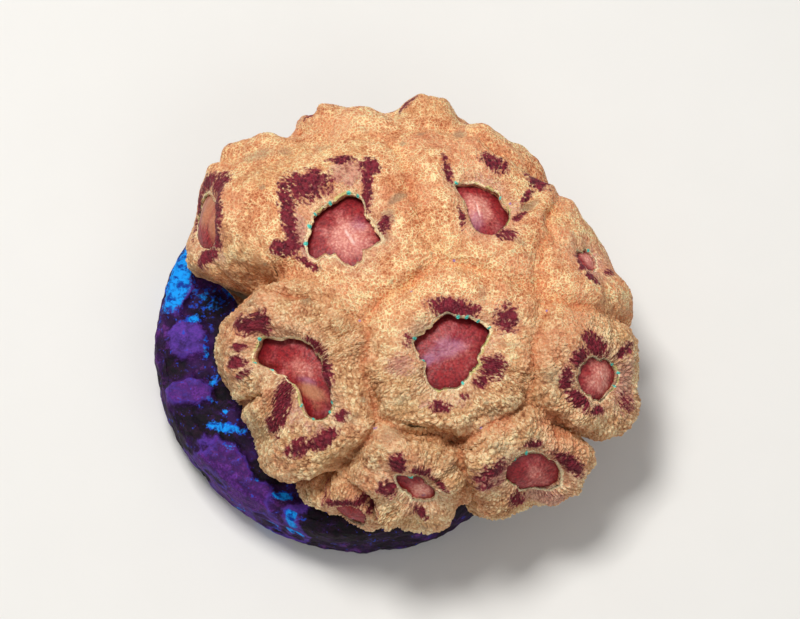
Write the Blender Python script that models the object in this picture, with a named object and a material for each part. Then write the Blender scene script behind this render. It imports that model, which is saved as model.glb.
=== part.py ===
"""A fleshy large-polyp coral colony on the round disc that it grew over.

The colony is a low dome of thick flesh with thirteen open polyps. Its surface is laid out on a flat map:
a place on the map is (a, b), in millimetres measured along the dome from its top, with a to the right and
b to the back. wrap() folds that map over the dome, and relief() gives the height of the flesh above it.
Lengths are in millimetres up to the last step, which writes the meshes in metres. +Z is up, and the origin
is the centre of the disc's underside.
"""

import math

import bmesh
import bpy
import numpy as np

MM = 0.001

# the disc
DISC_RADIUS = 16.0
DISC_THICKNESS = 6.0
DISC_CHAMFER = 0.5
DISC_EDGE_DROP = 0.5  # how much lower the top's rim lies than the top
# the side wall below the rim: heights, and how far in from the edge each lies
DISC_SIDE = ((3.8, -0.15), (1.8, 0.0), (DISC_CHAMFER, 0.1), (0.0, DISC_CHAMFER))
DISC_TOP_RINGS = 13
GAP = 0.3  # between the disc's top and the colony's flat underside

# the colony's dome
DOME_CENTRE = (4.3, 0.0)
DOME_TOP = 17.6  # height of the crown above the disc's underside
DOME_WAIST = 8.4  # height at which the dome is widest
DOME_TUCK = 1.3  # how far the edge rolls in below the waist
CROWN_FLATNESS = 2.4  # superellipse powers: across and up
SHOULDER_FLATNESS = 2.2
# radius of the dome's waist every 20 degrees, from the right round by the back
WAIST_RADII = (16.9, 15.9, 15.2, 16.5, 17.2, 17.6, 18.5, 20.1, 19.1,
               16.4, 15.5, 15.5, 16.9, 17.2, 17.0, 17.3, 17.6, 17.7)
COLONY_RINGS = 37
EASING_PASSES = 2  # smoothing of the lattice, so that no facet stands out as a spike

# the flesh
LIP_DROP = 0.9  # how far the lip of an opening lies below the crest of its wall
LIP_ROLL = 1.1  # distance over which the wall rises from the lip to the dome
GROOVE_DEPTH = 0.6  # furrow where two polyps meet
GROOVE_WIDTH = 1.6
SKIRT_DEPTH = 1.4  # how much deeper the furrows cut into the dome's edge
SKIRT_START = 16.0
WELL_LIP = 0.35  # the drop into an opening starts this far outside its outline
WELL_WALL = 1.0  # distance over which it drops to the mouth disc
MOUTH_RISE = 0.4  # the mouth stands up from the middle of its disc

# Each polyp: name, centre of its opening, depth of its disc below the wall's crest, outline of the opening
POLYPS = (
    ("upper_left", (-5.0, 3.7), 1.7,
     ((-7.5, 2.5), (-7.0, 3.9), (-6.3, 5.2), (-5.5, 5.9), (-4.8, 7.0), (-4.0, 6.6), (-3.6, 5.1),
      (-2.9, 3.8), (-2.4, 3.0), (-3.4, 2.2), (-4.4, 1.0), (-5.5, 2.1), (-6.4, 2.3), (-7.1, 1.8))),
    ("upper_right", (5.9, 6.9), 1.6,
     ((3.1, 8.9), (4.3, 9.1), (6.0, 9.1), (7.6, 8.3), (8.4, 7.2), (7.8, 5.7), (6.7, 4.6), (5.2, 5.1),
      (4.4, 6.0), (4.1, 7.3))),
    ("middle", (2.6, -5.6), 1.8,
     ((-0.1, -4.9), (1.3, -3.8), (1.8, -2.9), (3.6, -3.0), (5.5, -3.8), (4.8, -5.2), (4.4, -6.6),
      (3.4, -8.2), (2.1, -8.8), (1.1, -8.3), (0.8, -6.7))),
    ("lower_left", (-9.4, -7.1), 1.7,
     ((-14.2, -4.0), (-12.0, -4.8), (-9.6, -5.3), (-8.8, -6.4), (-8.1, -7.8), (-6.8, -9.6),
      (-7.1, -10.8), (-8.5, -11.5), (-9.9, -10.8), (-10.4, -9.0), (-11.6, -7.9), (-13.1, -7.1),
      (-14.9, -6.6), (-15.1, -5.5), (-14.4, -4.9))),
    ("left_flank", (-16.4, 7.2), 1.1,
     ((-15.2, 8.3), (-16.0, 9.4), (-17.2, 9.8), (-18.4, 8.6), (-18.1, 6.6), (-17.1, 5.3), (-16.0, 4.7),
      (-15.3, 5.1), (-15.0, 6.4))),
    ("right_flank", (15.0, -6.6), 1.3,
     ((12.7, -6.8), (13.2, -5.8), (15.0, -5.4), (16.5, -5.3), (17.1, -6.1), (16.4, -7.8), (15.5, -8.6),
      (14.1, -8.2), (12.9, -7.5))),
    ("right_shoulder", (15.5, 3.9), 1.3,
     ((14.3, 3.1), (15.2, 4.6), (16.2, 5.3), (16.8, 4.8), (16.3, 3.6), (15.3, 2.7), (14.5, 2.4))),
    ("front_right", (10.6, -15.5), 1.2,
     ((7.5, -15.1), (8.4, -14.0), (9.9, -13.6), (11.4, -14.3), (13.2, -15.8), (12.7, -16.9),
      (11.2, -17.4), (8.9, -16.7), (7.8, -15.9))),
    ("front", (0.2, -16.9), 1.4,
     ((-1.5, -15.5), (-0.4, -15.9), (0.9, -16.6), (1.6, -17.5), (1.3, -18.3), (0.2, -18.0),
      (-0.7, -17.1))),
    ("front_left", (-6.6, -20.6), 1.1,
     ((-8.1, -20.7), (-7.5, -19.6), (-6.6, -19.3), (-5.7, -19.6), (-5.1, -20.6), (-5.5, -22.1),
      (-6.8, -22.2), (-8.0, -21.5))),
    ("back_left", (-13.4, 16.6), 1.5,
     ((-15.3, 16.2), (-14.2, 15.0), (-12.4, 15.2), (-11.4, 16.8), (-12.6, 18.2), (-14.6, 18.0))),
    ("back", (-4.6, 20.4), 1.5,
     ((-6.6, 20.2), (-5.4, 18.9), (-3.6, 19.0), (-2.6, 20.6), (-3.8, 21.8), (-5.8, 21.6))),
    ("back_right", (7.4, 19.4), 1.5,
     ((5.4, 19.6), (6.2, 18.2), (8.2, 17.9), (9.4, 19.0), (8.8, 20.8), (6.6, 21.2))),
)

# How much less ground a polyp's flesh covers than its neighbours', where it does
HELD_BACK = {"front_left": 2.6}

# Rounded lobes of flesh: place, radius, height
LOBES = (
    ((-2.1, -13.0), 2.2, 0.9), ((0.8, -14.0), 1.3, 0.5), ((2.4, -15.3), 1.3, 0.5), ((3.0, -16.9), 1.3, 0.7),
    ((-2.4, -16.4), 1.3, 0.5), ((-7.6, -17.8), 1.4, 0.2), ((-3.0, -19.6), 1.3, 0.9),
    ((-0.9, -18.6), 1.1, 0.8), ((0.9, -20.8), 1.6, 0.1), ((-11.4, -15.4), 2.4, 0.6),
    ((-14.0, -15.6), 1.8, 0.6), ((5.4, -15.5), 1.4, 0.5), ((5.4, -13.0), 2.0, 0.5),
    ((9.0, -19.3), 1.6, 0.2), ((14.4, -17.4), 2.3, 1.3), ((15.5, -13.6), 2.2, 0.6),
    ((19.6, -9.9), 2.3, 1.1), ((-11.7, -1.8), 2.4, 0.6), ((-16.6, -5.2), 2.0, 0.6),
    ((-12.4, -8.4), 1.6, 0.7), ((-13.4, -10.8), 1.8, 0.5), ((-6.3, -7.0), 1.8, 0.3),
    ((-11.1, 6.1), 3.2, 0.7), ((-7.9, 17.0), 2.2, 1.5), ((-4.2, 16.0), 2.0, 0.4), ((1.1, 17.7), 2.0, 1.8),
    ((4.2, 16.8), 1.5, -0.6), ((-1.8, 16.8), 1.4, -0.5), ((-12.3, 14.0), 2.8, 0.6),
    ((-10.0, 15.2), 1.8, -0.8), ((5.6, 14.4), 2.6, 0.4), ((-16.2, 10.6), 2.4, 0.4),
    ((-16.4, -15.8), 2.2, 0.6), ((-14.9, 12.6), 1.6, 0.6), ((-6.2, -22.6), 2.0, 0.7),
    ((13.6, 10.6), 2.2, 0.8), ((9.8, 5.2), 2.4, 0.4), ((12.8, -1.0), 2.4, 0.5), ((18.4, -7.0), 2.0, 0.3),
)

# Creases: from, to, depth at each end, half-width at each end
CREASES = (
    ((-12.6, 1.6), (-23.0, 0.8), (2.4, 6.0), (0.9, 2.3)),
    ((-16.0, 1.0), (-23.0, 3.9), (1.0, 6.0), (0.9, 1.9)),
    ((-12.6, 1.2), (-8.0, 0.9), (1.2, 0.4), (0.9, 0.9)),
    ((-3.1, -9.4), (-2.6, -11.4), (0.4, 0.4), (0.9, 0.9)),
    ((-0.6, -12.3), (3.5, -12.9), (0.6, 0.8), (0.9, 0.9)),
    ((3.5, -12.9), (4.7, -11.2), (0.8, 0.4), (0.9, 0.9)),
    ((4.9, -10.7), (6.8, -9.8), (0.4, 0.2), (0.9, 0.9)),
    ((8.6, -10.0), (11.8, -11.5), (0.3, 0.6), (0.9, 0.9)),
    ((11.8, -11.5), (20.0, -12.6), (0.8, 0.6), (0.9, 0.9)),
    ((-14.4, -17.6), (-12.1, -18.0), (0.7, 1.2), (0.9, 0.9)),
    ((-12.1, -18.0), (-9.0, -17.3), (1.2, 1.3), (0.9, 0.9)),
    ((-9.0, -17.3), (-6.6, -15.2), (1.3, 0.8), (0.9, 0.9)),
    ((-6.6, -15.2), (-4.8, -13.7), (0.8, 0.5), (0.9, 0.9)),
    ((-19.2, -9.9), (-13.8, -9.5), (1.3, 0.6), (0.9, 0.9)),
    ((4.0, -17.0), (4.8, -23.0), (0.9, 1.8), (0.9, 1.1)),
    ((10.4, 8.3), (8.6, 5.4), (0.4, 0.3), (0.9, 0.9)),
)
CREASE_LIMIT = 6.0  # no place is cut deeper than this where creases meet

# Crust on the disc: place on the top, half-lengths along and across, turn in degrees, rise
CRUST_PLATES = (
    ((-13.4, -4.9), (2.2, 1.35), 8, 0.55),
    ((-9.4, -12.1), (4.4, 1.9), -50, 0.6),
    ((-14.2, 4.2), (1.3, 2.9), -12, 0.4),
    ((-5.0, -14.6), (1.6, 0.9), 20, 0.4),
    ((-13.4, -0.4), (1.9, 1.9), 0, 0.35),
)
EDGE_BUMPS = ((163, 0.05, 14), (203, 0.2, 9), (262, 0.4, 13), (287, 0.3, 12), (322, 0.3, 20), (60, 0.3, 25))


def smooth_step(x):
    """0 below 0, 1 above 1, and 3x^2 - 2x^3 between."""
    x = np.clip(x, 0.0, 1.0)
    return x * x * (3.0 - 2.0 * x)


def waist_radius(angle):
    """The dome's waist radius at an angle in radians: a Catmull-Rom curve through WAIST_RADII."""
    values = np.array(WAIST_RADII)
    count = len(values)
    place = (angle / (2.0 * math.pi) * count) % count
    index = np.floor(place).astype(int)
    t = place - index
    p0, p1, p2, p3 = (values[(index + k) % count] for k in (-1, 0, 1, 2))
    square = (2 * p0 - 5 * p1 + 4 * p2 - p3) * t**2
    cube = (3 * p1 - p0 - 3 * p2 + p3) * t**3
    return 0.5 * (2 * p1 + (p2 - p0) * t + square + cube)


def dome_profile():
    """The dome's half-section: length along it, share of the waist radius, height, and the flesh's direction.

    The crown is a quarter of a superellipse, and the tuck a quarter ellipse that rolls in below the waist.
    The direction of the flesh turns with the crown's normal, and stays level below the waist.
    """
    mean = sum(WAIST_RADII) / len(WAIST_RADII)
    turn = np.linspace(0.0, math.pi / 2.0, 400)
    out = np.sin(turn) ** (2.0 / CROWN_FLATNESS)
    up = DOME_WAIST + (DOME_TOP - DOME_WAIST) * np.cos(turn) ** (2.0 / SHOULDER_FLATNESS)
    roll = np.linspace(0.0, math.pi / 2.0, 60)[1:]
    foot = DISC_THICKNESS + GAP
    out = np.r_[out, 1.0 - DOME_TUCK / mean * (1.0 - np.cos(roll))]
    up = np.r_[up, DOME_WAIST - (DOME_WAIST - foot) * np.sin(roll)]
    along = np.r_[0.0, np.cumsum(np.hypot(np.diff(out) * mean, np.diff(up)))]
    tilt = np.arctan2(np.gradient(out * mean), -np.gradient(up))
    tilt[len(turn):] = 0.0
    return along, out, up, np.clip(tilt, 0.0, math.pi / 2.0)


ALONG, OUT, UP, TILT = dome_profile()
EDGE = float(ALONG[-1])  # length from the crown to the rolled-in edge


def wrap(a, b, height):
    """Fold the map over the dome and lift each point by its height: x, y and z in millimetres."""
    length = np.hypot(a, b)
    angle = np.arctan2(b, a)
    tilt = np.interp(length, ALONG, TILT)
    radius = waist_radius(angle) * np.interp(length, ALONG, OUT) + height * np.cos(tilt)
    x = DOME_CENTRE[0] + radius * np.cos(angle)
    y = DOME_CENTRE[1] + radius * np.sin(angle)
    z = np.interp(length, ALONG, UP) + height * np.sin(tilt)
    return x, y, z


def opening_distance(a, b, centre, outline):
    """How far a place lies outside an opening: its distance from the centre less the outline's there."""
    points = np.array(outline) - np.array(centre)
    bearing = np.arctan2(points[:, 1], points[:, 0])
    order = np.argsort(bearing)
    reach = np.hypot(points[:, 0], points[:, 1])[order]
    da, db = a - centre[0], b - centre[1]
    radius = np.interp(np.arctan2(db, da), bearing[order], reach, period=2.0 * math.pi)
    return np.hypot(da, db) - radius, radius


def crease_depth(a, b, crease):
    """A furrow along a straight run, bell-shaped across, its depth and width changing evenly along it."""
    (a0, b0), (a1, b1), (depth0, depth1), (width0, width1) = crease
    run = (a1 - a0) ** 2 + (b1 - b0) ** 2
    t = np.clip(((a - a0) * (a1 - a0) + (b - b0) * (b1 - b0)) / run, 0.0, 1.0)
    off = np.hypot(a - a0 - t * (a1 - a0), b - b0 - t * (b1 - b0))
    return (depth0 + (depth1 - depth0) * t) * np.exp(-((off / (width0 + (width1 - width0) * t)) ** 2))


def relief(a, b):
    """Height of the flesh above the dome at a place on the map.

    Each polyp's wall rises from the lip of its opening to the dome. Furrows run where two openings are
    equally near, counting how far a polyp is held back, and cut deeper towards the dome's edge. Lobes add
    rounded swellings, and creases take furrows away. Inside an opening the flesh drops to a mouth disc with a
    low cone in its middle.
    """
    distances, held = [], []
    wells = np.zeros_like(a)
    for name, centre, depth, outline in POLYPS:
        distance, radius = opening_distance(a, b, centre, outline)
        distances.append(distance)
        held.append(distance + HELD_BACK.get(name, 0.0))
        inside = smooth_step((WELL_LIP - distance) / WELL_WALL)
        cone = MOUTH_RISE * (1.0 - smooth_step((distance + radius) / (0.8 * radius)))
        wells -= inside * (depth - LIP_DROP - cone)
    own = np.argmin(np.array(held), axis=0)[None]
    outside = np.maximum(np.take_along_axis(np.array(distances), own, axis=0)[0], 0.0)
    first, second = np.sort(np.array(held), axis=0)[:2]
    edge = smooth_step((np.hypot(a, b) - SKIRT_START) / (EDGE - SKIRT_START))
    height = -LIP_DROP * np.exp(-outside / LIP_ROLL)
    height -= (GROOVE_DEPTH + SKIRT_DEPTH * edge) * np.exp(-(((second - first) / GROOVE_WIDTH) ** 2))
    for (la, lb), size, rise in LOBES:
        height += rise * np.exp(-(((a - la) ** 2 + (b - lb) ** 2) / size**2) ** 1.5)
    height -= np.minimum(sum(crease_depth(a, b, crease) for crease in CREASES), CREASE_LIMIT)
    return height + wells


def ring_lattice(mesh, rings, place):
    """A disc of nearly equal triangles: ring n has 6n corners, and place(ring, turn) gives each point."""
    rows = [[mesh.verts.new(place(0, 0.0))]]
    for ring in range(1, rings + 1):
        count = 6 * ring
        rows.append([mesh.verts.new(place(ring, 2.0 * math.pi * k / count)) for k in range(count)])
    for ring in range(1, rings + 1):
        inner, outer = rows[ring - 1], rows[ring]
        for side in range(6):
            for k in range(ring):
                o0 = outer[side * ring + k]
                o1 = outer[(side * ring + k + 1) % len(outer)]
                i0 = inner[(side * (ring - 1) + k) % len(inner)]
                mesh.faces.new((i0, o0, o1))
                if k < ring - 1:
                    i1 = inner[(side * (ring - 1) + k + 1) % len(inner)]
                    mesh.faces.new((i0, o1, i1))
    return rows[-1]


def finish(mesh, name, colour, roughness):
    """Turn a closed bmesh, in millimetres, into a named object in metres with its own material."""
    bmesh.ops.scale(mesh, vec=(MM, MM, MM), verts=mesh.verts)
    bmesh.ops.recalc_face_normals(mesh, faces=mesh.faces)
    data = bpy.data.meshes.new(name)
    mesh.to_mesh(data)
    mesh.free()
    data.shade_smooth()
    material = bpy.data.materials.new(name)
    material.use_nodes = True
    shader = material.node_tree.nodes["Principled BSDF"]
    shader.inputs["Base Color"].default_value = (*colour, 1.0)
    shader.inputs["Roughness"].default_value = roughness
    shader.inputs["Metallic"].default_value = 0.0
    data.materials.append(material)
    obj = bpy.data.objects.new(name, data)
    bpy.context.scene.collection.objects.link(obj)
    return obj


def coral_colony():
    """The colony: the map's disc folded over the dome and closed underneath by one flat face."""
    mesh = bmesh.new()
    spacing = EDGE / COLONY_RINGS

    def place(ring, turn):
        a = np.array(ring * spacing * math.cos(turn))
        b = np.array(ring * spacing * math.sin(turn))
        return tuple(float(v) for v in wrap(a, b, relief(a, b)))

    rim = ring_lattice(mesh, COLONY_RINGS, place)
    for _ in range(EASING_PASSES):
        bmesh.ops.smooth_vert(
            mesh, verts=mesh.verts, factor=0.5, use_axis_x=True, use_axis_y=True, use_axis_z=True)
    foot = DISC_THICKNESS + GAP
    for corner in rim:
        corner.co.z = foot
    mesh.faces.new(reversed(rim))
    return finish(mesh, "coral_colony", (0.80, 0.50, 0.27), 0.45)


def disc_edge(turn):
    """The disc's radius at an angle: its own radius with the crust's low bumps on the edge."""
    degrees = math.degrees(turn) % 360.0
    radius = DISC_RADIUS
    for middle, rise, width in EDGE_BUMPS:
        off = (degrees - middle + 180.0) % 360.0 - 180.0
        radius += rise * math.exp(-((off / width) ** 2))
    return radius


def crust_rise(x, y):
    """How far the crust stands above the disc's top: flat plates with rounded edges, clear of the colony."""
    rise = 0.0
    for (cx, cy), (along, across), turn, height in CRUST_PLATES:
        c, s = math.cos(math.radians(turn)), math.sin(math.radians(turn))
        u = ((x - cx) * c + (y - cy) * s) / along
        v = ((y - cy) * c - (x - cx) * s) / across
        rise = max(rise, height * float(smooth_step((1.15 - math.hypot(u, v)) / 0.4)))
    return rise


def frag_disc():
    """The disc: a flat underside, a chamfer, a slightly bulging side wall and a crusted top."""
    mesh = bmesh.new()

    def top(ring, turn):
        share = ring / DISC_TOP_RINGS
        radius = disc_edge(turn) * share
        x, y = radius * math.cos(turn), radius * math.sin(turn)
        z = DISC_THICKNESS + crust_rise(x, y)
        if ring == DISC_TOP_RINGS:
            z -= DISC_EDGE_DROP
        return x, y, z

    rim = ring_lattice(mesh, DISC_TOP_RINGS, top)
    count = len(rim)
    for height, inset in DISC_SIDE:
        ring = []
        for k in range(count):
            turn = 2.0 * math.pi * k / count
            radius = disc_edge(turn) - inset
            ring.append(mesh.verts.new((radius * math.cos(turn), radius * math.sin(turn), height)))
        for k in range(count):
            mesh.faces.new((rim[(k + 1) % count], rim[k], ring[k], ring[(k + 1) % count]))
        rim = ring
    mesh.faces.new(reversed(rim))
    return finish(mesh, "frag_disc", (0.16, 0.07, 0.30), 0.7)


def main():
    for obj in list(bpy.data.objects):
        bpy.data.objects.remove(obj)
    coral_colony()
    frag_disc()


main()
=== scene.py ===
"""The looks of a fleshy coral colony on its round disc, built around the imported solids.

The colony's surface is laid out on a flat map. A place on the map is (a, b), in millimetres along the dome
from its crown, with a to the right and b to the back; wrap() folds the map over the dome. Every polyp is a
sheet of flesh on a polar grid about its own mouth, and has a mouth disc of its own under the lip. All lengths
are in millimetres until a mesh is made.
"""

import math
from types import SimpleNamespace

import bpy
import numpy as np
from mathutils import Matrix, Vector


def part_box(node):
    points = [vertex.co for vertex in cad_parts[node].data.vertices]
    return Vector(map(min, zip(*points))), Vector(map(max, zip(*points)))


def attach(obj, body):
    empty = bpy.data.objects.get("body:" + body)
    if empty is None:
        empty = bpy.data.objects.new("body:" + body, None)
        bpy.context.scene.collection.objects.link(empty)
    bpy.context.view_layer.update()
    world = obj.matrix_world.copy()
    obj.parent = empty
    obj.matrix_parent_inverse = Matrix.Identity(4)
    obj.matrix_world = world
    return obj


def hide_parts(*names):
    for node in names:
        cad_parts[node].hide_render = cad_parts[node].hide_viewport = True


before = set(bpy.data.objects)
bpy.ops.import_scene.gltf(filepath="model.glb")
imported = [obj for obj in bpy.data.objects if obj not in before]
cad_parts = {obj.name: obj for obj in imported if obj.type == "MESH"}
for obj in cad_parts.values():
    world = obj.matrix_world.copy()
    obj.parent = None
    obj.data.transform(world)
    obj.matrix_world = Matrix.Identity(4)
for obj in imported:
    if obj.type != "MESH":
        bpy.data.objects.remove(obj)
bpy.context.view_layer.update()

MM = 0.001
FULL_TURN = 2.0 * math.pi

# ---------------------------------------------------------------- the dome, as the solids have it
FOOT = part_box("coral_colony")[0].z / MM  # the colony's flat underside
SEAT_GAP = 0.3  # between the disc's top and the colony's underside
DISC_TOP = FOOT - SEAT_GAP
DISC_RADIUS = 16.0
DOME_CENTRE = (4.3, 0.0)
DOME_TOP = FOOT + 11.3
DOME_WAIST = FOOT + 2.1
DOME_TUCK = 1.3  # how far the dome rolls in below its waist
FLAT_RUN = 3.0  # how far it runs on inwards, flat, underneath
CROWN_FLATNESS = 2.4
SHOULDER_FLATNESS = 2.2
# radius of the dome's waist every 20 degrees, from the right round by the back
WAIST_RADII = (16.9, 15.9, 15.2, 16.5, 17.2, 17.6, 18.5, 20.1, 19.1,
               16.4, 15.5, 15.5, 16.9, 17.2, 17.0, 17.3, 17.6, 17.7)

# ---------------------------------------------------------------- the flesh
LIP_DROP = 0.9  # how far the lip of an opening lies below the crest of its wall
LIP_ROLL = 1.1  # distance over which the wall rises from its lip
LIP_ROUND = 0.3  # radius of the lip's own rounded edge
LIP_TUCK = 0.55  # how far the flesh turns back under the lip
GENTLE_SIDE = 0.45  # share by which the wall's rise is drawn out on its gentle side
GROOVE_DEPTH = 0.55  # the furrow where two polyps meet
GROOVE_WIDTH = 1.0
FURROW_BEND = 0.7  # how far the furrows between polyps wander, and every how far
FURROW_BEND_SIZE = 2.4
FRONT_DEEPER = 0.6  # share by which furrows are deeper at the front, from where and over what distance
FRONT_START = 5.0
FRONT_RUN = 6.0
VALLEY_DEPTH = 0.35  # a broad hollow about each furrow
VALLEY_WIDTH = 3.2
SKIRT_DEPTH = 1.6  # the furrows' extra depth at the dome's edge, from where it starts to grow
SKIRT_START = 16.0
OVERLAP = 0.7  # how far a sheet runs on past the furrow, and how steeply it dives under its neighbour
DIVE = 1.2
CORNER_EASE = (-0.06, -0.03, 0.0, 0.03, 0.06)  # turns in radians over which an outline's corners are eased
FLOW_EASE = 0.5  # half the arc, in radians, over which an outline is eased for the flesh's way out
FLOW_LEAN = 0.75  # share of the turn from the ray to the lip's normal that the flesh takes
FLOW_LEAST_TURN = 0.1  # least turn from one way out to the next, as a share of an even step
LONGEST_REACH = 19.0  # how far out the end of a polyp's ground is looked for, and in what steps
REACH_STEP = 0.06

# ---------------------------------------------------------------- the flesh's relief
# Layers of soft noise are given by amount, size and salt; a salt only picks a noise of its own.
TUCK_ROWS = 8  # rows of a sheet under its lip
LIP_WOBBLE = ((0.13, 0.9, 3), (0.13, 0.42, 4), (0.07, 0.2, 8))
LUMPS = ((1.0, 1.8, 31), (0.6, 0.85, 32))
PLEAT = (0.30, 0.8)  # width and length of the pleats by the lip
PLEAT_END = 2.6  # how far from the lip the pleats end, and over what distance they fade
PLEAT_FADE = 1.8
BEAD = (0.33, 0.42)  # width and length of the beads that stand in rows
LOBULE = (2.1, 4.0)  # width and length of the broad swellings round a polyp
FOLD = (0.85, 1.7)  # width and length of the folds between rows of beads
LOOSE_BEAD = 0.36  # beads in no rows, past the furrow
STEEP_BEAD = 0.62  # beads on steep walls, where rows would be drawn out into streaks
STEEP_FROM = 1.5  # how far a sheet is drawn out before its wall counts as steep
NET_CELL = 0.36
PLEAT_SHARE = 0.55  # how much the pleats take over from the grain beside the lip
NET_HEIGHT = 0.10
BEAD_HEIGHT = 0.22  # what beads add to the net's height
LUMP_HEIGHT = 0.20
FOLD_SHARE = 1.1  # height of the folds, as a share of the height of the lumps
LOBULE_HEIGHT = 0.26
LIP_LINE = (0.08, 0.16)  # where the teal beads sit outside the lip's edge, and half their spread
TEAL_SIZE = 0.18
TEAL_HEIGHT = 0.12
LILAC_SIZE = 0.13

# ---------------------------------------------------------------- the mouths
MOUTH_UNDER_LIP = 0.6  # how far a mouth disc runs on under the lip
SPOKE_WIDTH = 0.34
SPOKE_HEIGHT = 0.02
GRANULE = 0.26  # size and height of the granules
GRANULE_HEIGHT = 0.02
WAVE = 0.9  # size and height of the disc's soft unevenness
WAVE_HEIGHT = 0.1
DISH_RISE = 0.4  # how far the disc rises towards the mouth
LIPS_WIDTH = (1.9, 1.2)  # half-length and half-width of the raised lips, in the slit's half-lengths
SLIT_WIDTH = 0.2
LIPS_HEIGHT = 0.16
SLIT_DEPTH = 0.14
PALE_REACH = 0.52  # the pale middle's reach as a share of the disc

# Each polyp: name, centre of its opening, depth of its mouth disc, mouth, outline of the opening
POLYPS = (
    ("upper_left", (-5.0, 3.7), 1.7, (-4.4, 3.4),
     ((-7.5, 2.5), (-7.0, 3.9), (-6.3, 5.2), (-5.5, 5.9), (-4.8, 7.0), (-4.0, 6.6), (-3.6, 5.1),
      (-2.9, 3.8), (-2.4, 3.0), (-3.4, 2.2), (-4.4, 1.0), (-5.5, 2.1), (-6.4, 2.3), (-7.1, 1.8))),
    ("upper_right", (5.9, 6.9), 1.6, (5.3, 7.0),
     ((3.1, 8.9), (4.3, 9.1), (6.0, 9.1), (7.6, 8.3), (8.4, 7.2), (7.8, 5.7), (6.7, 4.6), (5.2, 5.1),
      (4.4, 6.0), (4.1, 7.3))),
    ("middle", (2.6, -5.6), 1.8, (2.5, -5.5),
     ((-0.1, -4.9), (1.3, -3.8), (1.8, -2.9), (3.6, -3.0), (5.5, -3.8), (4.8, -5.2), (4.4, -6.6),
      (3.4, -8.2), (2.1, -8.8), (1.1, -8.3), (0.8, -6.7))),
    ("lower_left", (-9.4, -7.1), 1.7, (-10.4, -7.6),
     ((-14.2, -4.0), (-12.0, -4.8), (-9.6, -5.3), (-8.8, -6.4), (-8.1, -7.8), (-6.8, -9.6), (-7.1, -10.8),
      (-8.5, -11.5), (-9.9, -10.8), (-10.4, -9.0), (-11.6, -7.9), (-13.1, -7.1), (-14.9, -6.6), (-15.1, -5.5),
      (-14.4, -4.9))),
    ("left_flank", (-16.4, 7.2), 1.1, (-16.2, 7.4),
     ((-15.2, 8.3), (-16.0, 9.4), (-17.2, 9.8), (-18.4, 8.6), (-18.1, 6.6), (-17.1, 5.3), (-16.0, 4.7),
      (-15.3, 5.1), (-15.0, 6.4))),
    ("right_flank", (15.0, -6.6), 1.3, (15.1, -6.5),
     ((12.7, -6.8), (13.2, -5.8), (15.0, -5.4), (16.5, -5.3), (17.1, -6.1), (16.4, -7.8), (15.5, -8.6),
      (14.1, -8.2), (12.9, -7.5))),
    ("right_shoulder", (15.5, 3.9), 1.3, (15.9, 4.2),
     ((14.3, 3.1), (15.2, 4.6), (16.2, 5.3), (16.8, 4.8), (16.3, 3.6), (15.3, 2.7), (14.5, 2.4))),
    ("front_right", (10.6, -15.5), 1.2, (10.9, -15.7),
     ((7.5, -15.1), (8.4, -14.0), (9.9, -13.6), (11.4, -14.3), (13.2, -15.8), (12.7, -16.9), (11.2, -17.4),
      (8.9, -16.7), (7.8, -15.9))),
    ("front", (0.2, -16.9), 1.4, (0.5, -17.3),
     ((-1.5, -15.5), (-0.4, -15.9), (0.9, -16.6), (1.6, -17.5), (1.3, -18.3), (0.2, -18.0), (-0.7, -17.1))),
    ("front_left", (-6.6, -20.6), 1.1, (-6.6, -20.8),
     ((-8.1, -20.7), (-7.5, -19.6), (-6.6, -19.3), (-5.7, -19.6), (-5.1, -20.6), (-5.5, -22.1), (-6.8, -22.2),
      (-8.0, -21.5))),
    ("back_left", (-13.4, 16.6), 1.5, (-13.3, 16.7),
     ((-15.3, 16.2), (-14.2, 15.0), (-12.4, 15.2), (-11.4, 16.8), (-12.6, 18.2), (-14.6, 18.0))),
    ("back", (-4.6, 20.4), 1.5, (-4.6, 20.4),
     ((-6.6, 20.2), (-5.4, 18.9), (-3.6, 19.0), (-2.6, 20.6), (-3.8, 21.8), (-5.8, 21.6))),
    ("back_right", (7.4, 19.4), 1.5, (7.5, 19.5),
     ((5.4, 19.6), (6.2, 18.2), (8.2, 17.9), (9.4, 19.0), (8.8, 20.8), (6.6, 21.2))),
)
# For each polyp: the turn of its slit in degrees, the slit's half-length, how pale the middle of its disc is,
# and the bearing in degrees on which its flesh slopes most gently down to the lip
MOUTHS = {
    "upper_left": (-60, 0.75, 1.00, 150), "upper_right": (-68, 0.60, 1.20, 60),
    "middle": (18, 0.45, 0.50, -30), "lower_left": (-5, 0.35, 0.60, 200),
    "left_flank": (80, 0.30, 0.35, 180), "right_flank": (-60, 0.35, 1.15, 0),
    "right_shoulder": (90, 0.25, 1.15, 60), "front_right": (10, 0.18, 0.55, 240),
    "front": (-40, 0.25, 1.15, 240), "front_left": (-30, 0.25, 0.25, 260),
    "back_left": (20, 0.40, 0.60, 120), "back": (-10, 0.45, 0.70, 90), "back_right": (40, 0.40, 0.55, 60),
}
CENTRES = np.array([polyp[1] for polyp in POLYPS])
# How much less ground a polyp's flesh covers than its neighbours', in millimetres; 0 where a name isn't given
HELD_BACK = {"front_left": 2.6}
HOLDS = np.array([HELD_BACK.get(polyp[0], 0.0) for polyp in POLYPS])

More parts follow.
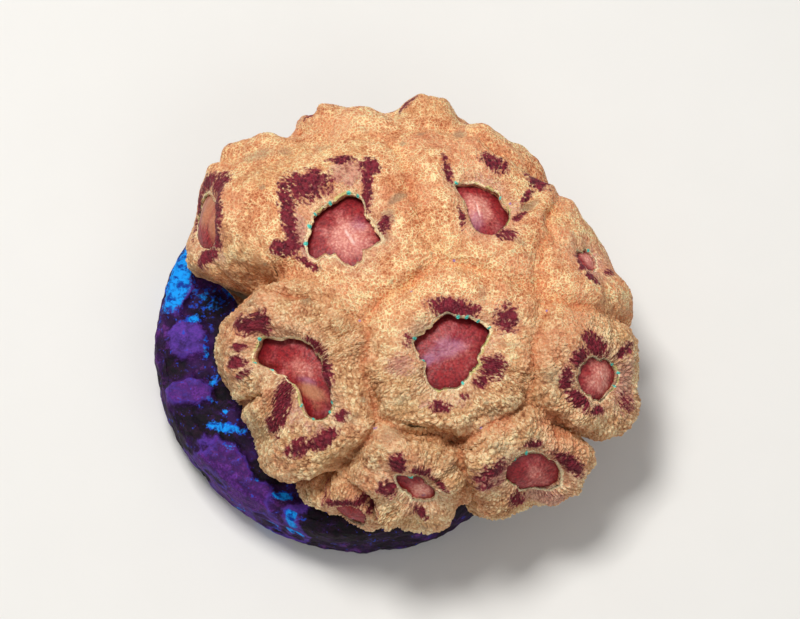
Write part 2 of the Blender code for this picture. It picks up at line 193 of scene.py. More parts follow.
# Rounded lobes of flesh: place, radius, height
LOBES = (
    ((-2.1, -13.0), 2.2, 0.9), ((0.8, -14.0), 1.3, 0.5), ((2.4, -15.3), 1.3, 0.5), ((3.0, -16.9), 1.3, 0.7),
    ((-2.4, -16.4), 1.3, 0.5), ((-7.6, -17.8), 1.4, 0.2), ((-3.0, -19.6), 1.3, 0.9),
    ((-0.9, -18.6), 1.1, 0.8), ((0.9, -20.8), 1.6, 0.1), ((-11.4, -15.4), 2.4, 0.6),
    ((-14.0, -15.6), 1.8, 0.6), ((5.4, -15.5), 1.4, 0.5), ((5.4, -13.0), 2.0, 0.5),
    ((9.0, -19.3), 1.6, 0.2), ((14.4, -17.4), 2.3, 1.3), ((15.5, -13.6), 2.2, 0.6),
    ((19.6, -9.9), 2.3, 1.1), ((-11.7, -1.8), 2.4, 0.6), ((-16.6, -5.2), 2.0, 0.6),
    ((-12.4, -8.4), 1.6, 0.7), ((-13.4, -10.8), 1.8, 0.5), ((-6.3, -7.0), 1.8, 0.3),
    ((-11.1, 6.1), 3.2, 0.7), ((-7.9, 17.0), 2.2, 1.5), ((-4.2, 16.0), 2.0, 0.4), ((1.1, 17.7), 2.0, 1.8),
    ((4.2, 16.8), 1.5, -0.6), ((-1.8, 16.8), 1.4, -0.5), ((-12.3, 14.0), 2.8, 0.6),
    ((-10.0, 15.2), 1.8, -0.8), ((5.6, 14.4), 2.6, 0.4), ((-16.2, 10.6), 2.4, 0.4),
    ((-16.4, -15.8), 2.2, 0.6), ((-14.9, 12.6), 1.6, 0.6), ((-6.2, -22.6), 2.0, 0.7),
    ((13.6, 10.6), 2.2, 0.8), ((9.8, 5.2), 2.4, 0.4), ((12.8, -1.0), 2.4, 0.5), ((18.4, -7.0), 2.0, 0.3),
)
# Creases: from, to, depth at each end, half-width at each end
CREASES = (
    ((-12.6, 1.6), (-23.0, 0.8), (2.4, 6.0), (0.9, 2.3)),
    ((-16.0, 1.0), (-23.0, 3.9), (1.0, 6.0), (0.7, 1.9)),
    ((-12.6, 1.2), (-8.0, 0.9), (1.2, 0.4), (0.8, 0.7)),
    ((-3.1, -9.4), (-2.6, -11.4), (0.4, 0.4), (0.8, 0.8)),
    ((-0.6, -12.3), (3.5, -12.9), (0.6, 0.8), (0.7, 0.7)),
    ((3.5, -12.9), (4.7, -11.2), (0.8, 0.4), (0.7, 0.7)),
    ((4.9, -10.7), (6.8, -9.8), (0.4, 0.2), (0.5, 0.5)),
    ((8.6, -10.0), (11.8, -11.5), (0.3, 0.6), (0.7, 0.7)),
    ((11.8, -11.5), (20.0, -12.6), (0.8, 0.6), (0.7, 0.9)),
    ((-14.4, -17.6), (-12.1, -18.0), (0.7, 1.2), (0.7, 0.8)),
    ((-12.1, -18.0), (-9.0, -17.3), (1.2, 1.3), (0.8, 0.8)),
    ((-9.0, -17.3), (-6.6, -15.2), (1.3, 0.8), (0.8, 0.7)),
    ((-6.6, -15.2), (-4.8, -13.7), (0.8, 0.5), (0.7, 0.7)),
    ((-19.2, -9.9), (-13.8, -9.5), (1.3, 0.6), (0.7, 0.5)),
    ((4.0, -17.0), (4.8, -23.0), (0.9, 1.8), (0.7, 1.1)),
    ((10.4, 8.3), (8.6, 5.4), (0.4, 0.3), (0.6, 0.5)),
    ((6.1, -4.7), (7.8, -4.8), (0.25, 0.1), (0.4, 0.4)),
)
CREASE_LIMIT = 6.0  # no place is cut deeper than this where creases meet
# Places where neighbouring walls have grown together and their furrow fades out: place, radius, share lost
FUSED = (
    ((-11.5, 5.4), 4.6, 0.95), ((-10.4, 13.2), 5.6, 0.75), ((0.6, 15.0), 6.0, 0.65),
    ((11.6, 12.6), 4.0, 0.5), ((1.6, 4.6), 3.6, 0.45), ((-6.4, -2.4), 2.6, 0.45), ((7.2, -0.8), 2.6, 0.4),
)
# Marks on the flesh: place, half-length, half-width, turn in degrees, strength
BURGUNDY = (
    (-7.4, 7.1, 1.5, 1.2, 35, 1.0), (-8.5, 4.9, 2.6, 0.5, 92, 1.0), (-9.2, 2.7, 1.2, 0.6, 8, 1.0),
    (-8.0, 1.6, 0.9, 0.35, -40, 0.85), (-5.4, 9.8, 0.9, 0.5, 5, 0.9), (-3.4, 9.4, 0.7, 0.8, -10, 1.0),
    (-3.5, 7.4, 1.8, 0.36, 93, 0.95), (-2.2, 4.2, 0.85, 0.5, 70, 0.7), (6.5, 11.3, 1.25, 0.85, -10, 1.0),
    (11.1, 11.5, 1.35, 0.95, -25, 1.0), (10.1, 9.4, 1.2, 0.35, 60, 0.85), (2.5, 9.7, 1.3, 0.35, -70, 0.8),
    (3.7, 5.4, 1.0, 0.28, -75, 0.75), (7.6, 4.3, 0.9, 0.65, 20, 0.9), (9.3, 6.9, 1.0, 0.28, 42, 0.85),
    (2.5, -2.3, 1.6, 0.7, -5, 1.0), (3.9, -2.4, 0.8, 0.5, -10, 0.8), (6.7, -2.9, 0.9, 1.1, 0, 0.85),
    (5.7, -6.8, 0.9, 0.9, 50, 0.95), (4.9, -7.9, 0.6, 0.5, 50, 0.9), (1.9, -10.1, 0.8, 0.5, 0, 0.75),
    (3.7, -9.2, 0.35, 0.3, 0, 0.7), (-0.6, -5.0, 0.4, 0.6, 0, 0.5), (-14.8, -2.8, 1.1, 0.9, -20, 1.0),
    (-13.1, -3.2, 1.1, 0.8, 60, 1.0), (-15.8, -4.7, 0.6, 0.4, 0, 0.8), (-16.3, -5.9, 0.8, 0.6, 0, 0.95),
    (-15.9, -7.1, 0.9, 0.4, 20, 0.75), (-7.3, -7.8, 1.3, 0.55, -62, 1.0), (-8.6, -5.7, 1.2, 0.4, -38, 0.95),
    (-11.7, -10.4, 2.1, 0.7, 78, 1.0), (-12.6, -11.9, 0.7, 0.8, 0, 0.95), (-9.8, -13.4, 1.2, 0.6, 15, 1.0),
    (-8.4, -13.0, 1.0, 0.5, 10, 1.0), (-7.3, -12.5, 1.2, 0.6, 28, 1.0), (-5.8, -10.8, 0.8, 0.4, 15, 0.75),
    (-13.8, 8.8, 1.0, 0.9, 10, 1.0), (-15.6, 10.1, 1.6, 0.6, -20, 1.0), (-17.8, 9.9, 1.0, 0.45, 50, 1.0),
    (-13.8, 6.9, 2.0, 0.6, 82, 1.0), (-14.6, 4.9, 1.4, 0.55, 55, 1.0), (-16.5, 4.0, 1.6, 0.6, 2, 1.0),
    (-17.8, 3.9, 0.7, 0.4, 0, 0.8), (-18.8, 8.3, 1.4, 0.3, 80, 0.6), (13.9, -4.3, 1.3, 0.75, -20, 1.0),
    (12.5, -5.4, 0.9, 0.6, 50, 1.0), (11.4, -7.2, 0.6, 0.9, 0, 1.0), (12.6, -8.7, 1.2, 0.6, -25, 1.0),
    (14.6, -9.4, 1.2, 0.4, 5, 0.9), (17.4, -4.0, 1.4, 0.4, 35, 0.9), (17.9, -8.2, 0.7, 0.8, 0, 0.5),
    (13.8, 2.7, 1.2, 0.45, 70, 0.9), (14.3, 1.2, 0.8, 0.45, -20, 0.95), (17.3, 3.0, 0.9, 0.34, 30, 0.75),
    (6.0, -14.9, 1.5, 0.7, 30, 0.8), (5.6, -16.2, 1.5, 0.32, 5, 0.65), (9.3, -12.6, 0.7, 0.45, 0, 0.9),
    (13.0, -14.0, 1.9, 0.62, -25, 1.0), (9.3, -18.1, 1.0, 0.75, -20, 0.9), (-1.4, -14.2, 0.6, 0.8, 0, 1.0),
    (0.3, -15.0, 0.8, 0.45, -10, 0.95), (1.7, -15.9, 1.0, 0.3, -35, 0.75), (-2.3, -16.3, 0.8, 0.75, 0, 0.9),
    (0.5, -19.2, 0.9, 0.34, -60, 0.85), (-6.2, -18.4, 2.2, 0.5, -8, 1.0), (-3.9, -19.5, 0.6, 0.45, 0, 0.85),
    (-11.9, 14.5, 1.8, 0.35, 5, 0.9), (-13.6, 12.9, 0.22, 0.22, 0, 0.6), (-15.9, 17.6, 1.5, 0.5, 75, 0.9),
    (-11.0, 18.6, 1.3, 0.5, -40, 0.9), (-8.4, 16.7, 0.9, 0.38, 70, 0.95), (-6.6, 18.6, 1.2, 0.4, 35, 0.9),
    (-2.2, 19.4, 1.2, 0.45, -70, 0.8), (-4.2, 22.6, 1.6, 0.4, 0, 0.8), (-0.7, 17.4, 0.75, 0.5, 20, 0.8),
    (5.2, 18.0, 1.3, 0.45, 60, 0.9), (9.6, 17.4, 1.2, 0.5, -40, 0.9), (8.6, 21.8, 1.5, 0.45, -20, 0.8),
)
MAUVE = (
    (-4.9, 8.7, 1.3, 1.2, 0, 1.0), (-7.8, 3.4, 2.0, 0.6, 95, 0.9), (6.0, 9.3, 2.2, 0.9, -15, 0.5),
    (8.8, 7.6, 1.3, 0.6, 50, 0.5), (0.7, -9.9, 0.6, 0.4, 0, 0.7), (-1.2, -7.0, 1.2, 0.9, 0, 0.8),
    (5.4, -5.2, 1.2, 0.8, 60, 0.4), (2.6, -9.9, 1.6, 0.7, 10, 0.5), (-10.3, -10.9, 1.4, 0.8, 70, 0.7),
    (-8.4, -11.9, 1.6, 0.5, 0, 0.6), (-14.2, -6.0, 0.8, 1.4, 0, 0.4), (14.6, 2.4, 1.6, 1.2, 0, 0.7),
    (16.6, 4.4, 0.8, 1.4, 0, 0.7), (17.8, -6.8, 1.3, 2.6, 0, 0.8), (12.2, -17.9, 2.2, 0.9, 10, 1.0),
    (6.2, -15.5, 1.7, 1.3, 0, 0.9), (-1.6, -16.6, 0.8, 0.8, 0, 0.5), (0.2, -18.2, 1.0, 0.8, 0, 0.5),
    (-7.6, -19.0, 1.4, 0.8, 0, 0.4), (-15.6, 3.4, 1.2, 0.8, 0, 0.6), (-17.6, 9.0, 1.2, 1.2, 0, 0.5),
    (-8.9, 17.0, 1.2, 0.9, 0, 0.5),
)
OLIVE = (
    (-1.4, 6.6, 1.1, 0.35, 50, 0.8), (-2.0, 4.9, 0.5, 0.7, 0, 0.7), (-2.3, 3.2, 0.5, 0.6, 0, 0.6),
    (3.6, 14.2, 0.6, 0.5, 0, 0.7), (10.3, 8.3, 1.2, 0.4, 40, 0.8), (8.6, 3.6, 0.8, 0.4, -30, 0.6),
    (-9.1, -1.8, 0.5, 0.4, 0, 0.6), (10.4, -7.2, 0.8, 0.8, 0, 0.6), (-1.2, -9.6, 0.5, 0.4, 0, 0.4),
    (0.4, -4.2, 0.9, 0.9, 30, 0.6), (4.9, -1.2, 0.4, 0.9, 0, 0.5), (7.0, -5.0, 1.2, 0.3, 0, 0.5),
    (-11.1, 10.8, 1.3, 0.6, 10, 0.6), (-9.3, 10.9, 0.6, 0.6, 0, 0.5), (-7.1, 11.8, 0.8, 0.5, 0, 0.5),
    (-4.0, 13.6, 0.6, 0.4, 0, 0.4), (0.4, 13.6, 0.4, 0.4, 0, 0.6), (6.0, -10.2, 0.5, 0.5, 0, 0.5),
    (-5.0, -10.9, 0.8, 0.5, 20, 0.5), (-2.0, -12.2, 0.9, 0.6, 0, 0.5), (2.6, -14.6, 0.8, 0.8, 0, 0.4),
    (6.4, -13.0, 0.9, 0.6, 0, 0.5), (1.0, -19.6, 1.0, 0.8, 0, 0.4), (-14.0, -0.9, 1.0, 0.5, 0, 0.4),
    (7.6, -9.6, 0.5, 0.5, 0, 0.4), (-6.4, -3.6, 0.4, 0.3, 0, 0.4), (9.4, 2.4, 0.8, 0.5, 0, 0.4),
)
# Teal beads on the lips: their bearings in degrees about each polyp's centre
TEAL_BEARINGS = {
    "upper_left": (86, 75, 109, 142, 168, 195), "upper_right": (142, 47),
    "middle": (79, 67, 51, 35, 162, 204, 291), "lower_left": (149, 172, 184, 258, 279, 304, 313),
    "left_flank": (15,), "right_flank": (39, 15, 343), "right_shoulder": (66,), "front_right": (151, 128),
    "front": (120,), "back_left": (60,), "back_right": (100,),
}
# Lengths of lip that are yellow-green: the bearing of each one's middle and its half-width, in degrees
GREEN_LIPS = {
    "upper_left": ((122, 26), (90, 14)), "upper_right": ((60, 55), (350, 25)),
    "middle": ((345, 45), (262, 16)), "lower_left": ((163, 22), (285, 42), (236, 14)),
    "left_flank": ((120, 40),), "right_flank": ((5, 40),), "front_right": ((145, 40), (205, 20)),
    "back_left": ((80, 50),), "back": ((90, 60),), "back_right": ((90, 50),),
}
# Tints on the mouth discs, given as the marks are
VIOLET_TINTS = (
    (0.9, -6.3, 0.9, 0.45, 35, 0.8), (2.3, -5.3, 1.6, 0.9, 32, 0.7), (0.65, -17.75, 0.2, 0.2, 0, 1.0),
    (-9.9, -8.5, 1.1, 0.35, -15, 0.75), (-3.9, 4.6, 0.5, 0.8, -20, 0.45), (5.3, 5.9, 0.9, 0.9, -30, 0.6),
    (-6.2, -20.9, 0.2, 0.2, 0, 0.6),
)
TAN_TINTS = (
    (-9.3, -9.3, 1.7, 0.6, -14, 1.0), (-17.3, 9.2, 0.9, 1.2, 0, 1.0), (-15.8, 8.1, 1.7, 0.9, 70, 1.0),
    (-15.2, 6.3, 1.6, 0.8, 80, 0.8), (-8.7, -10.4, 0.7, 0.35, 0, 0.45), (-3.6, 20.2, 0.5, 0.5, 0, 0.5),
)
LILAC_DOTS = (
    (10.0, -2.1), (-0.3, -1.1), (-4.8, -3.6), (5.1, -11.6), (-3.1, -11.8), (3.2, 1.7), (8.4, 8.1),
)


# ---------------------------------------------------------------- numbers that vary from place to place
def smooth_step(x):
    """0 below 0, 1 above 1, and 3x^2 - 2x^3 between."""
    x = np.clip(x, 0.0, 1.0)
    return x * x * (3.0 - 2.0 * x)


def lattice_number(i, j, k, salt):
    """A fixed number from 0 to 1 for each whole-number place: its indices multiplied, folded and mixed."""
    n = i.astype(np.uint32) * np.uint32(374761393) + j.astype(np.uint32) * np.uint32(668265263)
    n = n + k.astype(np.uint32) * np.uint32(2246822519) + np.uint32(salt * 40503 + 12345)
    n = (n ^ (n >> np.uint32(15))) * np.uint32(2654435761)
    n = (n ^ (n >> np.uint32(13))) * np.uint32(1274126177)
    return ((n ^ (n >> np.uint32(16))) & np.uint32(0xFFFF)) / 65535.0


def soft_noise(points, size, salt=0):
    """Smooth noise from -1 to 1: lattice numbers every `size` mm, eased between the eight nearest corners."""
    q = points / size
    base = np.floor(q).astype(np.int64)
    t = q - base
    t = t * t * (3.0 - 2.0 * t)
    total = 0.0
    for dx in (0, 1):
        for dy in (0, 1):
            for dz in (0, 1):
                step = np.array([dx, dy, dz])
                weight = np.abs(1 - step - t)
                i, j, k = np.moveaxis(base + step, -1, 0)
                corner = lattice_number(i, j, k, salt)
                total = total + weight[..., 0] * weight[..., 1] * weight[..., 2] * corner
    return 2.0 * total - 1.0


def layered(points, layers):
    """Soft noises added up, from the amount, the size and the salt of each."""
    return sum(amount * soft_noise(points, size, salt) for amount, size, salt in layers)


def cells(points, salt=0):
    """Scattered seeds, one to a unit cube: how far each point is from its nearest seed and from the next."""
    base = np.floor(points).astype(np.int64)
    nearest = np.full(points.shape[:-1], 9.0)
    second = nearest.copy()
    for dx in (-1, 0, 1):
        for dy in (-1, 0, 1):
            for dz in (-1, 0, 1):
                i, j, k = base[..., 0] + dx, base[..., 1] + dy, base[..., 2] + dz
                square = (i + lattice_number(i, j, k, salt) - points[..., 0]) ** 2
                square += (j + lattice_number(i, j, k, salt + 1) - points[..., 1]) ** 2
                square += (k + lattice_number(i, j, k, salt + 2) - points[..., 2]) ** 2
                second = np.minimum(second, np.maximum(nearest, square))
                nearest = np.minimum(nearest, square)
    return np.sqrt(nearest), np.sqrt(second)


def beads(points, salt=0):
    """Round-topped bumps from 0 to 1 that fill their cells: the root of 1 - t^2, t from seed to border."""
    near, second = cells(points, salt)
    share = 2.0 * near / (near + second)
    return np.sqrt(1.0 - np.minimum(share, 1.0) ** 2)


def ridges(points, salt=0):
    """A net of narrow ridges from 0 to 1 between pits: the fourth power of t, with t from seed to border."""
    near, second = cells(points, salt)
    return (2.0 * near / (near + second)) ** 4


def pits(points, salt=0):
    """Round pits from 0 to 1, one to a cell: 1 less the squared distance to the seed, none past its reach."""
    return np.clip(1.0 - cells(points, salt)[0] ** 2 / 0.7, 0.0, 1.0)


def warped(points, size, amount, salt=0):
    """Points moved about by soft noise, so that a pattern laid on them loses its evenness."""
    shift = [soft_noise(points + 31.7 * axis, size, salt + axis) for axis in range(3)]
    return points + amount * np.stack(shift, axis=-1)


# ---------------------------------------------------------------- the map and the dome
def waist_radius(angle):
    """The dome's waist radius at an angle in radians: a Catmull-Rom curve through WAIST_RADII."""
    values = np.array(WAIST_RADII)
    count = len(values)
    place = (angle / FULL_TURN * count) % count
    index = np.floor(place).astype(int)
    t = place - index
    p0, p1, p2, p3 = (values[(index + k) % count] for k in (-1, 0, 1, 2))
    bend = (2 * p0 - 5 * p1 + 4 * p2 - p3) * t**2
    return 0.5 * (2 * p1 + (p2 - p0) * t + bend + (3 * p1 - p0 - 3 * p2 + p3) * t**3)


def dome_profile():
    """The dome's half-section: length along it, share of the waist radius, height, and the flesh's tilt.

    The crown is a quarter of a superellipse, the tuck a quarter ellipse that rolls in below the waist, and a
    last flat run goes inwards underneath. The flesh's tilt turns with the crown's normal, and stays level
    below the waist.
    """
    mean = sum(WAIST_RADII) / len(WAIST_RADII)
    turn = np.linspace(0.0, math.pi / 2.0, 400)
    out = np.sin(turn) ** (2.0 / CROWN_FLATNESS)
    up = DOME_WAIST + (DOME_TOP - DOME_WAIST) * np.cos(turn) ** (2.0 / SHOULDER_FLATNESS)
    roll = np.linspace(0.0, math.pi / 2.0, 60)[1:]
    underneath = 1.0 - (DOME_TUCK + FLAT_RUN) / mean
    out = np.r_[out, 1.0 - DOME_TUCK / mean * (1.0 - np.cos(roll)), underneath]
    up = np.r_[up, DOME_WAIST - (DOME_WAIST - FOOT) * np.sin(roll), FOOT]
    along = np.r_[0.0, np.cumsum(np.hypot(np.diff(out) * mean, np.diff(up)))]
    tilt = np.arctan2(np.gradient(out * mean), -np.gradient(up))
    tilt[len(turn):] = 0.0
    return along, out, up, np.clip(tilt, 0.0, math.pi / 2.0)


ALONG, OUT, UP, TILT = dome_profile()
EDGE = float(ALONG[-2])  # length from the crown to the rolled-in edge
UNDERSIDE = 1.5  # how far the flesh runs in underneath


def wrap(a, b, height):
    """Fold the map over the dome and lift each point by its height: points in millimetres."""
    length = np.hypot(a, b)
    angle = np.arctan2(b, a)
    tilt = np.interp(length, ALONG, TILT)
    radius = waist_radius(angle) * np.interp(length, ALONG, OUT) + height * np.cos(tilt)
    x = DOME_CENTRE[0] + radius * np.cos(angle)
    y = DOME_CENTRE[1] + radius * np.sin(angle)
    z = np.maximum(np.interp(length, ALONG, UP) + height * np.sin(tilt), FOOT)
    return np.stack([x, y, z], axis=-1)


def outline_radius(polyp, bearing):
    """An opening's radius on each bearing: straight runs between its outline's points, eased at corners."""
    centre, outline = polyp[1], np.array(polyp[4])
    points = outline - np.array(centre)
    angles = np.arctan2(points[:, 1], points[:, 0])
    order = np.argsort(angles)
    reach = np.hypot(points[:, 0], points[:, 1])[order]
    total = 0.0
    for ease in CORNER_EASE:
        total = total + np.interp(bearing + ease, angles[order], reach, period=FULL_TURN)
    return total / len(CORNER_EASE)


def off_bearing(bearing, degrees):
    """How far each bearing in radians is from one in degrees, from 0 to half a turn, in radians."""
    return np.abs((bearing - math.radians(degrees) + math.pi) % FULL_TURN - math.pi)


def opening_distances(a, b):
    """For every polyp, how far each place lies outside its opening, measured along the line from its centre.

    Away from the lip the distance wanders by soft noise, which gives the furrows between polyps their bends.
    """
    rows = []
    for index, polyp in enumerate(POLYPS):
        da, db = a - polyp[1][0], b - polyp[1][1]
        outside = np.hypot(da, db) - outline_radius(polyp, np.arctan2(db, da))
        place = np.stack([a, b, np.full_like(a, 9.0 * index)], axis=-1)
        bend = FURROW_BEND * soft_noise(place, FURROW_BEND_SIZE, 5)
        rows.append(outside + bend * smooth_step((outside - 0.6) / 2.4))
    return np.array(rows)


def held_distances(distances):
    """The distances that share out the ground: each polyp's own plus how far its flesh is held back."""
    return distances + HOLDS.reshape((-1,) + (1,) * (distances.ndim - 1))


def crease_depth(a, b, crease):
    """A furrow along a straight run, bell-shaped across, its depth and width changing evenly along it."""
    (a0, b0), (a1, b1), (depth0, depth1), (width0, width1) = crease
    run = (a1 - a0) ** 2 + (b1 - b0) ** 2
    t = np.clip(((a - a0) * (a1 - a0) + (b - b0) * (b1 - b0)) / run, 0.0, 1.0)
    off = np.hypot(a - a0 - t * (a1 - a0), b - b0 - t * (b1 - b0))
    width = width0 + (width1 - width0) * t
    return (depth0 + (depth1 - depth0) * t) * np.exp(-((off / width) ** 2) ** 1.4)


def flesh_height(a, b):
    """Height of the flesh above the dome, and how deep in a furrow each place lies, from 0 to 1.

    The wall rises from the lip of the nearest opening by a decaying exponential, drawn out on the polyp's own
    gentle side. Furrows, bell-shaped across, run where two openings are equally near. They cut deeper at the
    front and towards the dome's edge, and fade where walls are fused. Lobes add rounded bells. Creases are
    taken away.
    """
    distances = opening_distances(a, b)
    held = held_distances(distances)
    own = np.argmin(held, axis=0)
    first, second = np.sort(held, axis=0)[:2]
    outside = np.maximum(np.take_along_axis(distances, own[None], axis=0)[0], 0.0)
    edge = smooth_step((np.hypot(a, b) - SKIRT_START) / (EDGE - SKIRT_START))
    furrow = np.exp(-(((second - first) / GROOVE_WIDTH) ** 2))
    valley = np.exp(-(((second - first) / VALLEY_WIDTH) ** 2))
    bearing = np.arctan2(b - CENTRES[own, 1], a - CENTRES[own, 0])
    gentle = np.radians([MOUTHS[polyp[0]][3] for polyp in POLYPS])[own]
    roll = LIP_ROLL * (1.0 + GENTLE_SIDE * np.cos(bearing - gentle))
    place = np.stack([a, b, np.zeros_like(a)], axis=-1)
    front = 1.0 + FRONT_DEEPER * smooth_step((-b - FRONT_START) / FRONT_RUN)
    apart = np.ones_like(a)
    for (fa, fb), size, share in FUSED:
        apart = apart * (1.0 - share * np.exp(-(((a - fa) ** 2 + (b - fb) ** 2) / size**2) ** 2))
    groove = GROOVE_DEPTH * front * apart * (1.0 + 0.5 * soft_noise(place, 3.1, 6)) + SKIRT_DEPTH * edge
    height = -LIP_DROP * np.exp(-outside / roll) - groove * furrow - VALLEY_DEPTH * valley
    for (la, lb), size, rise in LOBES:
        height = height + rise * np.exp(-(((a - la) ** 2 + (b - lb) ** 2) / size**2) ** 1.5)
    cut = np.minimum(sum(crease_depth(a, b, crease) for crease in CREASES), CREASE_LIMIT)
    return height - cut, np.maximum(np.maximum(furrow * apart, 0.6 * valley), np.clip(cut, 0.0, 1.0))


def in_oval(a, b, centre, sizes, degrees):
    """Places along and across a turned oval, in shares of its half-length and its half-width."""
    c, s = math.cos(math.radians(degrees)), math.sin(math.radians(degrees))
    from_a, from_b = a - centre[0], b - centre[1]
    return (from_a * c + from_b * s) / sizes[0], (from_b * c - from_a * s) / sizes[1]


def patches(a, b, marks):
    """Share from 0 to 1 of a list of oval marks: full inside half an oval's reach, a half at its edge."""
    share = np.zeros_like(a)
    for ma, mb, along, across, turn, strength in marks:
        out = np.hypot(*in_oval(a, b, (ma, mb), (along, across), turn))
        share = np.maximum(share, strength * np.clip(1.5 - out, 0.0, 1.0))
    return share


def dots(a, b, places, radius):
    """Coverage from 0 to 1 of small round dots."""
    cover = np.zeros_like(a)
    for da, db in places:
        cover = np.maximum(cover, np.exp(-(((a - da) ** 2 + (b - db) ** 2) / radius**2) ** 2))
    return cover


# ---------------------------------------------------------------- meshes
def sheet_normals(points):
    """Unit normals of a grid whose columns go round: the cross product of its steps along and across rows."""
    along = np.gradient(points, axis=0)
    across = np.roll(points, -1, axis=1) - np.roll(points, 1, axis=1)
    normal = np.cross(along, across)
    return normal / np.maximum(np.linalg.norm(normal, axis=-1, keepdims=True), 1e-12)


def grid_faces(rows, columns):
    """Quads of a grid whose columns close on themselves, wound so that they face along its normals."""
    index = np.arange(rows * columns).reshape(rows, columns)
    here, there = index[:-1], index[1:]
    corners = [here, there, np.roll(there, -1, axis=1), np.roll(here, -1, axis=1)]
    return np.stack(corners, axis=-1).reshape(-1, 4)


def grid_mesh(name, points, attributes, poles=(None, None)):
    """A smooth mesh in metres from a grid of points in millimetres, with an attribute for each entry.

    An entry with three numbers to a point makes a vector attribute. The first and the last row may each close
    on a pole, a point that takes the mean of its row's attribute values.
    """
    rows, columns = points.shape[:2]
    corners = points.reshape(-1, 3)
    quads = grid_faces(rows, columns)
    corner_index = [quads.reshape(-1)]
    loop_start = [np.arange(len(quads)) * 4]
    values = {key: value.reshape(rows, columns, -1) for key, value in attributes.items()}
    flat = {key: value.reshape(rows * columns, -1) for key, value in values.items()}
    ring = np.arange(columns)
    loops = len(quads) * 4
    for pole, row in zip(poles, (0, rows - 1)):
        if pole is None:
            continue
        first, second = row * columns + ring, row * columns + np.roll(ring, -1)
        if row > 0:
            first, second = second, first
        corner_index.append(np.stack([np.full(columns, len(corners)), first, second], axis=-1).reshape(-1))
        loop_start.append(loops + ring * 3)
        loops += columns * 3
        corners = np.vstack([corners, pole])
        flat = {key: np.vstack([flat[key], values[key][row].mean(axis=0)]) for key in values}
    corner_index, loop_start = np.concatenate(corner_index), np.concatenate(loop_start)
    mesh = bpy.data.meshes.new(name)
    mesh.vertices.add(len(corners))
    mesh.vertices.foreach_set("co", (corners * MM).astype(np.float32).reshape(-1))
    mesh.loops.add(len(corner_index))
    mesh.loops.foreach_set("vertex_index", corner_index.astype(np.int32))
    mesh.polygons.add(len(loop_start))
    mesh.polygons.foreach_set("loop_start", loop_start.astype(np.int32))
    mesh.update(calc_edges=True)
    mesh.validate()
    mesh.shade_smooth()
    for key, value in flat.items():
        kind, field = ("FLOAT_VECTOR", "vector") if value.shape[1] == 3 else ("FLOAT", "value")
        layer = mesh.attributes.new(key, kind, "POINT")
        layer.data.foreach_set(field, value.astype(np.float32).reshape(-1))
    return mesh


def add_piece(name, mesh, material, node):
    """Put a mesh into the scene as a piece that rides on the root body and stands for a CAD node."""
    mesh.materials.append(material)
    piece = bpy.data.objects.new(name, mesh)
    bpy.context.scene.collection.objects.link(piece)
    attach(piece, "root")
    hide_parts(node)


# ---------------------------------------------------------------- the polyps
def outline_flow(index, bearing):
    """The way that flesh runs out from the lip on each bearing, turned from the ray towards the lip's normal.

    The bearings go once round. The outline is eased over a wide arc first, and each way turns on from the one
    before by at least a share of an even step, so that neighbouring ways never cross.
    """
    def eased(turn):
        turns = [turn + step for step in np.linspace(-FLOW_EASE, FLOW_EASE, 9)]
        return np.mean([outline_radius(POLYPS[index], each) for each in turns], axis=0)

    near = 0.04
    slope = (eased(bearing + near) - eased(bearing - near)) / (2.0 * near)
    flow = bearing - FLOW_LEAN * np.arctan(slope / eased(bearing))
    least = FLOW_LEAST_TURN * FULL_TURN / len(bearing)
    turns = np.maximum(np.diff(flow, append=flow[0] + FULL_TURN), least)
    spread = np.cumsum(turns * FULL_TURN / turns.sum())
    return spread + np.mean(flow - spread)


def cell_reach(index, lip_a, lip_b, flow):
    """How far flesh runs out from its lip each way: to where another opening is nearer, or underneath."""
    out = np.arange(0.0, LONGEST_REACH, REACH_STEP)[:, None]
    a = lip_a + out * np.cos(flow)
    b = lip_b + out * np.sin(flow)
    distances = held_distances(opening_distances(a, b))
    own = distances[index].copy()
    distances[index] = 99.0
    gone = (distances.min(axis=0) < own) | (np.hypot(a, b) > EDGE + UNDERSIDE)
    gone[-1] = True
    return REACH_STEP * np.argmax(gone, axis=0)


def round_place(bearing, around, outwards):
    """A place on a ring of `around` units in circumference and so many units outwards, for seamless noise."""
    around = np.broadcast_to(around, outwards.shape) / FULL_TURN
    return np.stack([np.cos(bearing) * around, np.sin(bearing) * around, outwards], axis=-1)


def beaded(a, b):
    """Where the flesh stands in beads, from 0 on the crown and the back to 1 at the front and sides."""
    place = np.stack([a, b, np.zeros_like(a)], axis=-1)
    reach = -0.9 * b + 0.5 * np.maximum(-a, 0.0) + 0.2 * np.maximum(a, 0.0) + 2.2 * soft_noise(place, 3.0, 7)
    return smooth_step((reach - 1.5) / 6.5)


